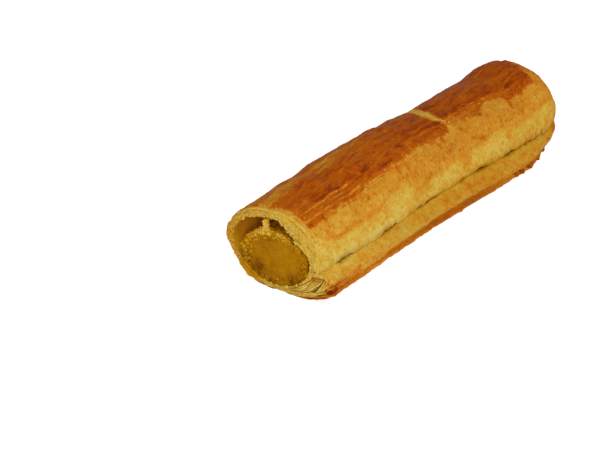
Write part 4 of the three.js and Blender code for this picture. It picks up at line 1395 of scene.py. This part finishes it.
def crustMaterial(longWay, around):
    look = crustFinish
    material, tree, shader = newMaterial("bakedCrust")
    flatMap = add(tree, "ShaderNodeUVMap", uv_map="crustMap").outputs["UV"]
    inMm = stretched(tree, flatMap, (longWay, around, 1))
    place3 = ownPlace(tree)
    streaks = noise(tree, stretched(tree, inMm, (0.14, 1.3, 1)), 1.0, 4)
    across = noise(tree, stretched(tree, inMm, (0.95, 0.3, 1)), 1.0, 3, 0.6)
    specks = noise(tree, place3, 1000, 4, 0.65)
    clouds = noise(tree, place3, 260, 4, 0.6)
    broad, broadEdge = leafCells(tree, inMm, 12.0, 2.8, 6.0)
    fine, fineEdge = leafCells(tree, inMm, 3.6, 1.5, 3.0)
    leafy = attribute(tree, "leafy")
    # painted highlights along the leaves' edges, darker in places as painted shade
    edgeLight = maths(tree, "MULTIPLY", broadEdge, swing(tree, clouds, look["leafEdgeLight"], 0.42))
    leaves = total(tree, swing(tree, broad, look["broadLeaves"]), swing(tree, fine, look["fineLeaves"]))
    parted = maths(tree, "ADD", leaves, edgeLight)
    browner = ranged(tree, across, 0.59, 0.69, 0, look["dashes"])
    paler = ranged(tree, across, 0.43, 0.34, 0, look["palerDashes"])
    dashes = maths(tree, "SUBTRACT", browner, paler)
    marks = maths(tree, "MULTIPLY", dashes, maths(tree, "SUBTRACT", 1.3, leafy))
    tone, colour = crustTone(tree, (
        swing(tree, specks, look["specks"]),
        swing(tree, clouds, look["clouds"]),
        maths(tree, "MULTIPLY", parted, leafy),
        swing(tree, streaks, maths(tree, "MULTIPLY", leafy, look["streaks"])),
        marks,
    ))
    roughness = ranged(tree, tone, 0.5, 0.85, look["dull"], look["glazed"])
    surface(tree, shader, colour, roughness, look["specular"])
    for name, value in look["coat"].items():
        shader.inputs[name].default_value = value
    steps = maths(tree, "ADD", broad, maths(tree, "MULTIPLY", fine, 0.6))
    steps = maths(tree, "SUBTRACT", steps, maths(tree, "MULTIPLY", fineEdge, 0.5))
    steps = maths(tree, "MULTIPLY", steps, maths(tree, "MULTIPLY", leafy, 0.55))
    bump(tree, shader, total(tree, across, specks, clouds, steps), 0.7, 0.7)
    return material


def cutMaterial():
    look = cutFinish
    material, tree, shader = newMaterial("cutLeaves")
    place3 = ownPlace(tree)
    crumbs = noise(tree, place3, 1300, 4, 0.65)
    lumps = cells(tree, place3, 850, feature="F1").outputs["Distance"]
    colour = crustTone(tree, (swing(tree, crumbs, look["crumbs"]), swing(tree, lumps, look["lumps"])))[1]
    surface(tree, shader, colour, look["roughness"], look["specular"])
    bump(tree, shader, maths(tree, "SUBTRACT", crumbs, lumps), 0.7, 0.5)
    return material


def cavityMaterial():
    look = cavityFinish
    material, tree, shader = newMaterial("cavityWall")
    blots = noise(tree, ownPlace(tree), 260, 4)
    tone = maths(tree, "ADD", attribute(tree, "bake"), swing(tree, blots, look["blots"]))
    surface(tree, shader, ramp(tree, tone, look["colours"]), look["roughness"], look["specular"])
    bump(tree, shader, blots, 0.4, 0.6)
    return material


def flakeMaterial():
    look = flakeFinish
    material, tree, shader = newMaterial("looseLeaf")
    specks = noise(tree, ownPlace(tree), 700, 3, 0.6)
    colour = crustTone(tree, (swing(tree, specks, look["specks"]),))[1]
    surface(tree, shader, colour, look["roughness"], look["specular"])
    return material


def pasteMaterial():
    look = pasteFinish
    material, tree, shader = newMaterial("groundPaste")
    place3 = ownPlace(tree)
    lumps = cells(tree, place3, 1100, feature="F1").outputs["Distance"]
    grains = maths(tree, "SUBTRACT", noise(tree, place3, 1500, 4, 0.65), swing(tree, lumps, 0.5))
    shifts = swing(tree, grains, look["grains"]), swing(tree, noise(tree, place3, 170, 3), look["clouds"])
    tone = total(tree, attribute(tree, "pale"), *shifts)
    surface(tree, shader, ramp(tree, tone, look["colours"]), look["roughness"], look["specular"])
    bump(tree, shader, grains, 0.5, 0.4)
    return material


# The filling

paste = {
    "faceRows": 46,
    "columns": 260,
    "crumb": 0.45,  # the cut face's own roughness at its rim
    "hollow": 0.5,
    "pitFrom": -6,  # degrees; here the rim has crumbled away from the wall
    "pitTo": 62,
    "pitDepth": 2.6,
    "tone": 0.31,
    "darkerBelow": 0.14,
    "darkerInPit": 0.5,
}
strand = {
    # the thin thread of paste that still hangs from the roof
    "angle": 108.0,
    "topHalf": 2.6,  # degrees
    "footHalf": 6.5,
    "denseHalf": 11,  # the points stand closer together here
    "columns": 62,
    "runs": 3.2,
    "reach": 0.97,
    "lean": 0.42,
    "ragged": 5.5,
}


def strandHeight(x, degrees):
    room = gapAt(x, degrees)
    jag = strand["ragged"] * layers(x / 0.9, degrees / 1.1, 101, 3)
    away = np.abs(degrees - strand["angle"] + jag)
    thread = fade(away, 0.55 * strand["topHalf"], 1.25 * strand["topHalf"])
    foot = 0.4 * np.exp(-((away / strand["footHalf"]) ** 2))
    along = fade(x, 0.35 * strand["runs"], strand["runs"] * (1 + 0.15 * uneven(x, degrees)))
    return strand["reach"] * room * np.maximum(thread, foot) * along


def fillingRow(x, degrees, shrink=1.0, rough=1.0):
    height = strandHeight(x, degrees)
    grow = filling["roughness"] * (uneven(0.31 * x, 0.12 * degrees, 5) - 1) + height
    grow = grow + rough * 0.28 * layers(x / 1.1, degrees / 3.2, 103, 3) - 0.8 * hump(degrees, 82, 14)
    room = gapAt(x, degrees)
    touching = fade(room, 0, 0.8)  # where there is no gap the paste is pressed into the pastry
    least = (roofGap["clearance"] + 0.25) * touching - 0.6 * (room > 0.8)
    least = least + 0.2 * grain(x / 1.5, degrees / 4, 108)
    most = roofGap["clearance"] + room - 0.15 + 0.6 * touching
    u, z = fillingSection(x, np.minimum(np.maximum(grow, least), most), degrees)
    u = u + strand["lean"] * height
    u = filling["centreU"] + (u - filling["centreU"]) * shrink
    z = fillingMiddle + (z - fillingMiddle) * shrink
    return place(x, u, z), u, z


def cutPaste(share, degrees):
    # a ring of the paste's cut face: dry and crumbled at its rim, with a pit where it has fallen away
    row, u, z = fillingRow(0.0, degrees, share)
    turned = (degrees + 180) % 360 - 180
    rim = smooth(share, 0.6, 0.97)
    lumps = layers(u / 0.9, z / 0.9, 104, 3)
    broad = layers(u / 5, z / 5, 105, 2)
    pitEdge = smooth(share + 0.09 * layers(degrees / 6, 0.5, 109, 3), 0.87, 0.93)
    pit = band(turned, paste["pitFrom"], paste["pitTo"], 8) * pitEdge
    low = smooth(-z, -20, -8) * smooth(share, 0.35, 0.8)  # darker below
    hanging = smooth(strandHeight(0.0, degrees), 0.8, 2) * rim
    upper = rim * smooth(z, 24, 32) * (1 - pit)
    back = paste["crumb"] + paste["hollow"] * (1 - share) + 0.16 * broad
    back = back + (mix(0.12, 0.5, rim) + 0.9 * hanging) * lumps
    back = back + 0.35 * rim * layers(u / 2.4, z / 2.4, 106, 2)
    row[:, 0] += back + paste["pitDepth"] * pit
    tone = paste["tone"] + 0.3 * rim * (0.3 - lumps) + 0.1 * broad - 0.1 * rim
    # darker below, and darker in the pit, where the darkening is painted shade
    tone = tone - paste["darkerBelow"] * low - paste["darkerInPit"] * pit
    tone = tone - 0.12 * hump(u, -7, 8) * hump(z, 13, 5)
    tone = tone + 0.4 * hanging * (0.7 - lumps) + 0.2 * upper
    thick = 0.15 + 0.85 * smooth(z, 12, 26) * fade(u, 6, 18) + 0.3 * smooth(broad, -0.3, 0.5) + hanging
    shed = hump(share, 0.85, 0.07) * band(turned, -16, 70, 8)  # grains that have fallen off beside the pit
    granules = (0.015 + rim ** 2 * thick + 0.7 * shed) * (1 - 0.7 * pit)
    clumps = (rim ** 2 * smooth(z, 11, 18) * fade(u, -8, -2) + 0.6 * hanging + 0.3 * upper) * (1 - pit)
    return row, np.clip(tone, 0, 1), granules, clumps


def sidePaste(x, degrees):
    row = fillingRow(x, degrees)[0]
    hanging = smooth(strandHeight(x, degrees), 0.8, 2)
    tone = 0.3 + 0.25 * layers(x / 1.5, degrees / 5, 107) + 0.35 * hanging
    return row, tone, (0.5 + 0.8 * hanging) * (gapAt(x, degrees) > 1) * (x < 5), 0 * degrees


def makeFilling():
    dense, reach = strand["denseHalf"], filling["reach"]
    left = paste["columns"] - strand["columns"]
    degrees = strand["angle"] + np.concatenate([
        np.linspace(-dense, dense, strand["columns"]),
        np.linspace(dense, 360 - dense, left + 2)[1:-1],
    ])
    rings = [cutPaste(share, degrees) for share in np.linspace(0.03, 0.985, paste["faceRows"]) ** 0.9]
    for x in np.concatenate([np.arange(0.5, 17, 0.55), np.arange(18, 40, 3), np.linspace(44, reach - 3, 12)]):
        rings.append(sidePaste(x, degrees))
    for x, shrink in ((reach - 0.8, 0.86), (reach, 0.5)):  # rounds the buried end
        rings.append((fillingRow(x, degrees, shrink, 0)[0], 0.3 + 0 * degrees, 0 * degrees, 0 * degrees))
    rows, tones, granules, clumps = (np.array(values) for values in zip(*rings))
    sunk = cutBack(filling["centreU"]) + paste["crumb"] + paste["hollow"]
    middleY = roll["middleY"] - filling["centreU"]
    poles = [(cutX + x, middleY, fillingMiddle) for x in (sunk, reach)]
    piece = skin("fillingPaste", rows, *poles)
    for name, values, atPoles in (("pale", tones, 0.3), ("granules", granules, 0), ("clumps", clumps, 0)):
        paintSkin(piece, name, values, atPoles)
    material = pasteMaterial()
    piece.data.materials.append(material)
    scatter("pasteGranules", piece, "granules", granule, material, "pale", "filling")
    scatter("pasteClumps", piece, "clumps", clump, material, "pale", "filling")
    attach(piece, "root")
    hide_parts("filling")
    print("filling:", len(rows), "rows of", len(degrees))


# Floor, light and camera

studio = {
    "floorSize": 6.0,
    "floorColour": (196, 196, 195),
    "floorGlow": 0.75,  # a lit table, so the shadow stays pale
    "worldStrength": 0.4,
    "lights": {
        "keyLight": {"at": (-0.4, -0.6, 1.1), "size": 0.6, "power": 7.3},
        "lowLight": {"at": (-0.82, -0.62, 0.46), "size": 0.35, "power": 3.6},  # shines into the cut end
        "fillLight": {"at": (0.9, -0.35, 0.55), "size": 0.8, "power": 1.6},
    },
}
viewpoint = {
    "azimuth": -50.54,
    "elevation": 29.55,
    "distance": 1.0833,  # metres, from the roll's middle
    "middleHeight": 0.022,
    "lens": 120.0,
    "sensor": 36.0,
    "asideLeft": 0.05702,  # the view's middle lies this far left of the roll's middle, in metres
    "asideDown": 0.02791,
}


def makeFloor():
    half = studio["floorSize"] / 2
    corners = [(-half, -half, 0), (half, -half, 0), (half, half, 0), (-half, half, 0)]
    mesh = bpy.data.meshes.new("floor")
    mesh.from_pydata(corners, [], [(0, 1, 2, 3)])
    floor = bpy.data.objects.new("floor", mesh)
    bpy.context.scene.collection.objects.link(floor)
    material, tree, shader = newMaterial("paleFloor")
    surface(tree, shader, linear(studio["floorColour"]), 0.9, 0.1)
    shader.inputs["Emission Color"].default_value = (1, 1, 1, 1)
    shader.inputs["Emission Strength"].default_value = studio["floorGlow"]
    mesh.materials.append(material)


def softLight(name, look):
    light = bpy.data.lights.new(name, "AREA")
    light.shape = "DISK"
    light.size = look["size"]
    light.energy = look["power"]
    holder = bpy.data.objects.new(name, light)
    holder.location = look["at"]
    toMiddle = Vector((0, 0, viewpoint["middleHeight"])) - Vector(look["at"])
    holder.rotation_euler = toMiddle.to_track_quat("-Z", "Y").to_euler()
    bpy.context.scene.collection.objects.link(holder)


def makeWorld():
    world = bpy.data.worlds.new("studio")
    world.use_nodes = True
    background = world.node_tree.nodes["Background"]
    background.inputs["Strength"].default_value = studio["worldStrength"]
    background.inputs["Color"].default_value = (1, 1, 1, 1)
    bpy.context.scene.world = world
    bpy.context.scene.view_settings.view_transform = "Standard"


def makeCamera():
    v = viewpoint
    a, e = math.radians(v["azimuth"]), math.radians(v["elevation"])
    back = Vector((math.sin(a) * math.cos(e), -math.cos(a) * math.cos(e), math.sin(e)))
    right = Vector((math.cos(a), math.sin(a), 0))
    up = back.cross(right)
    middle = Vector((0, 0, v["middleHeight"]))
    spot = middle + back * v["distance"] - right * v["asideLeft"] - up * v["asideDown"]
    camera = bpy.data.cameras.new("camera")
    camera.lens = v["lens"]
    camera.sensor_width = v["sensor"]
    holder = bpy.data.objects.new("camera", camera)
    turn = Matrix((right, up, back)).transposed().to_4x4()
    holder.matrix_world = Matrix.Translation(spot) @ turn
    bpy.context.scene.collection.objects.link(holder)
    bpy.context.scene.camera = holder


makePastry()
makeFan()
makeFilling()
makeFloor()
for lightName, lightLook in studio["lights"].items():
    softLight(lightName, lightLook)
makeWorld()
makeCamera()
print("floor, lights and camera made")
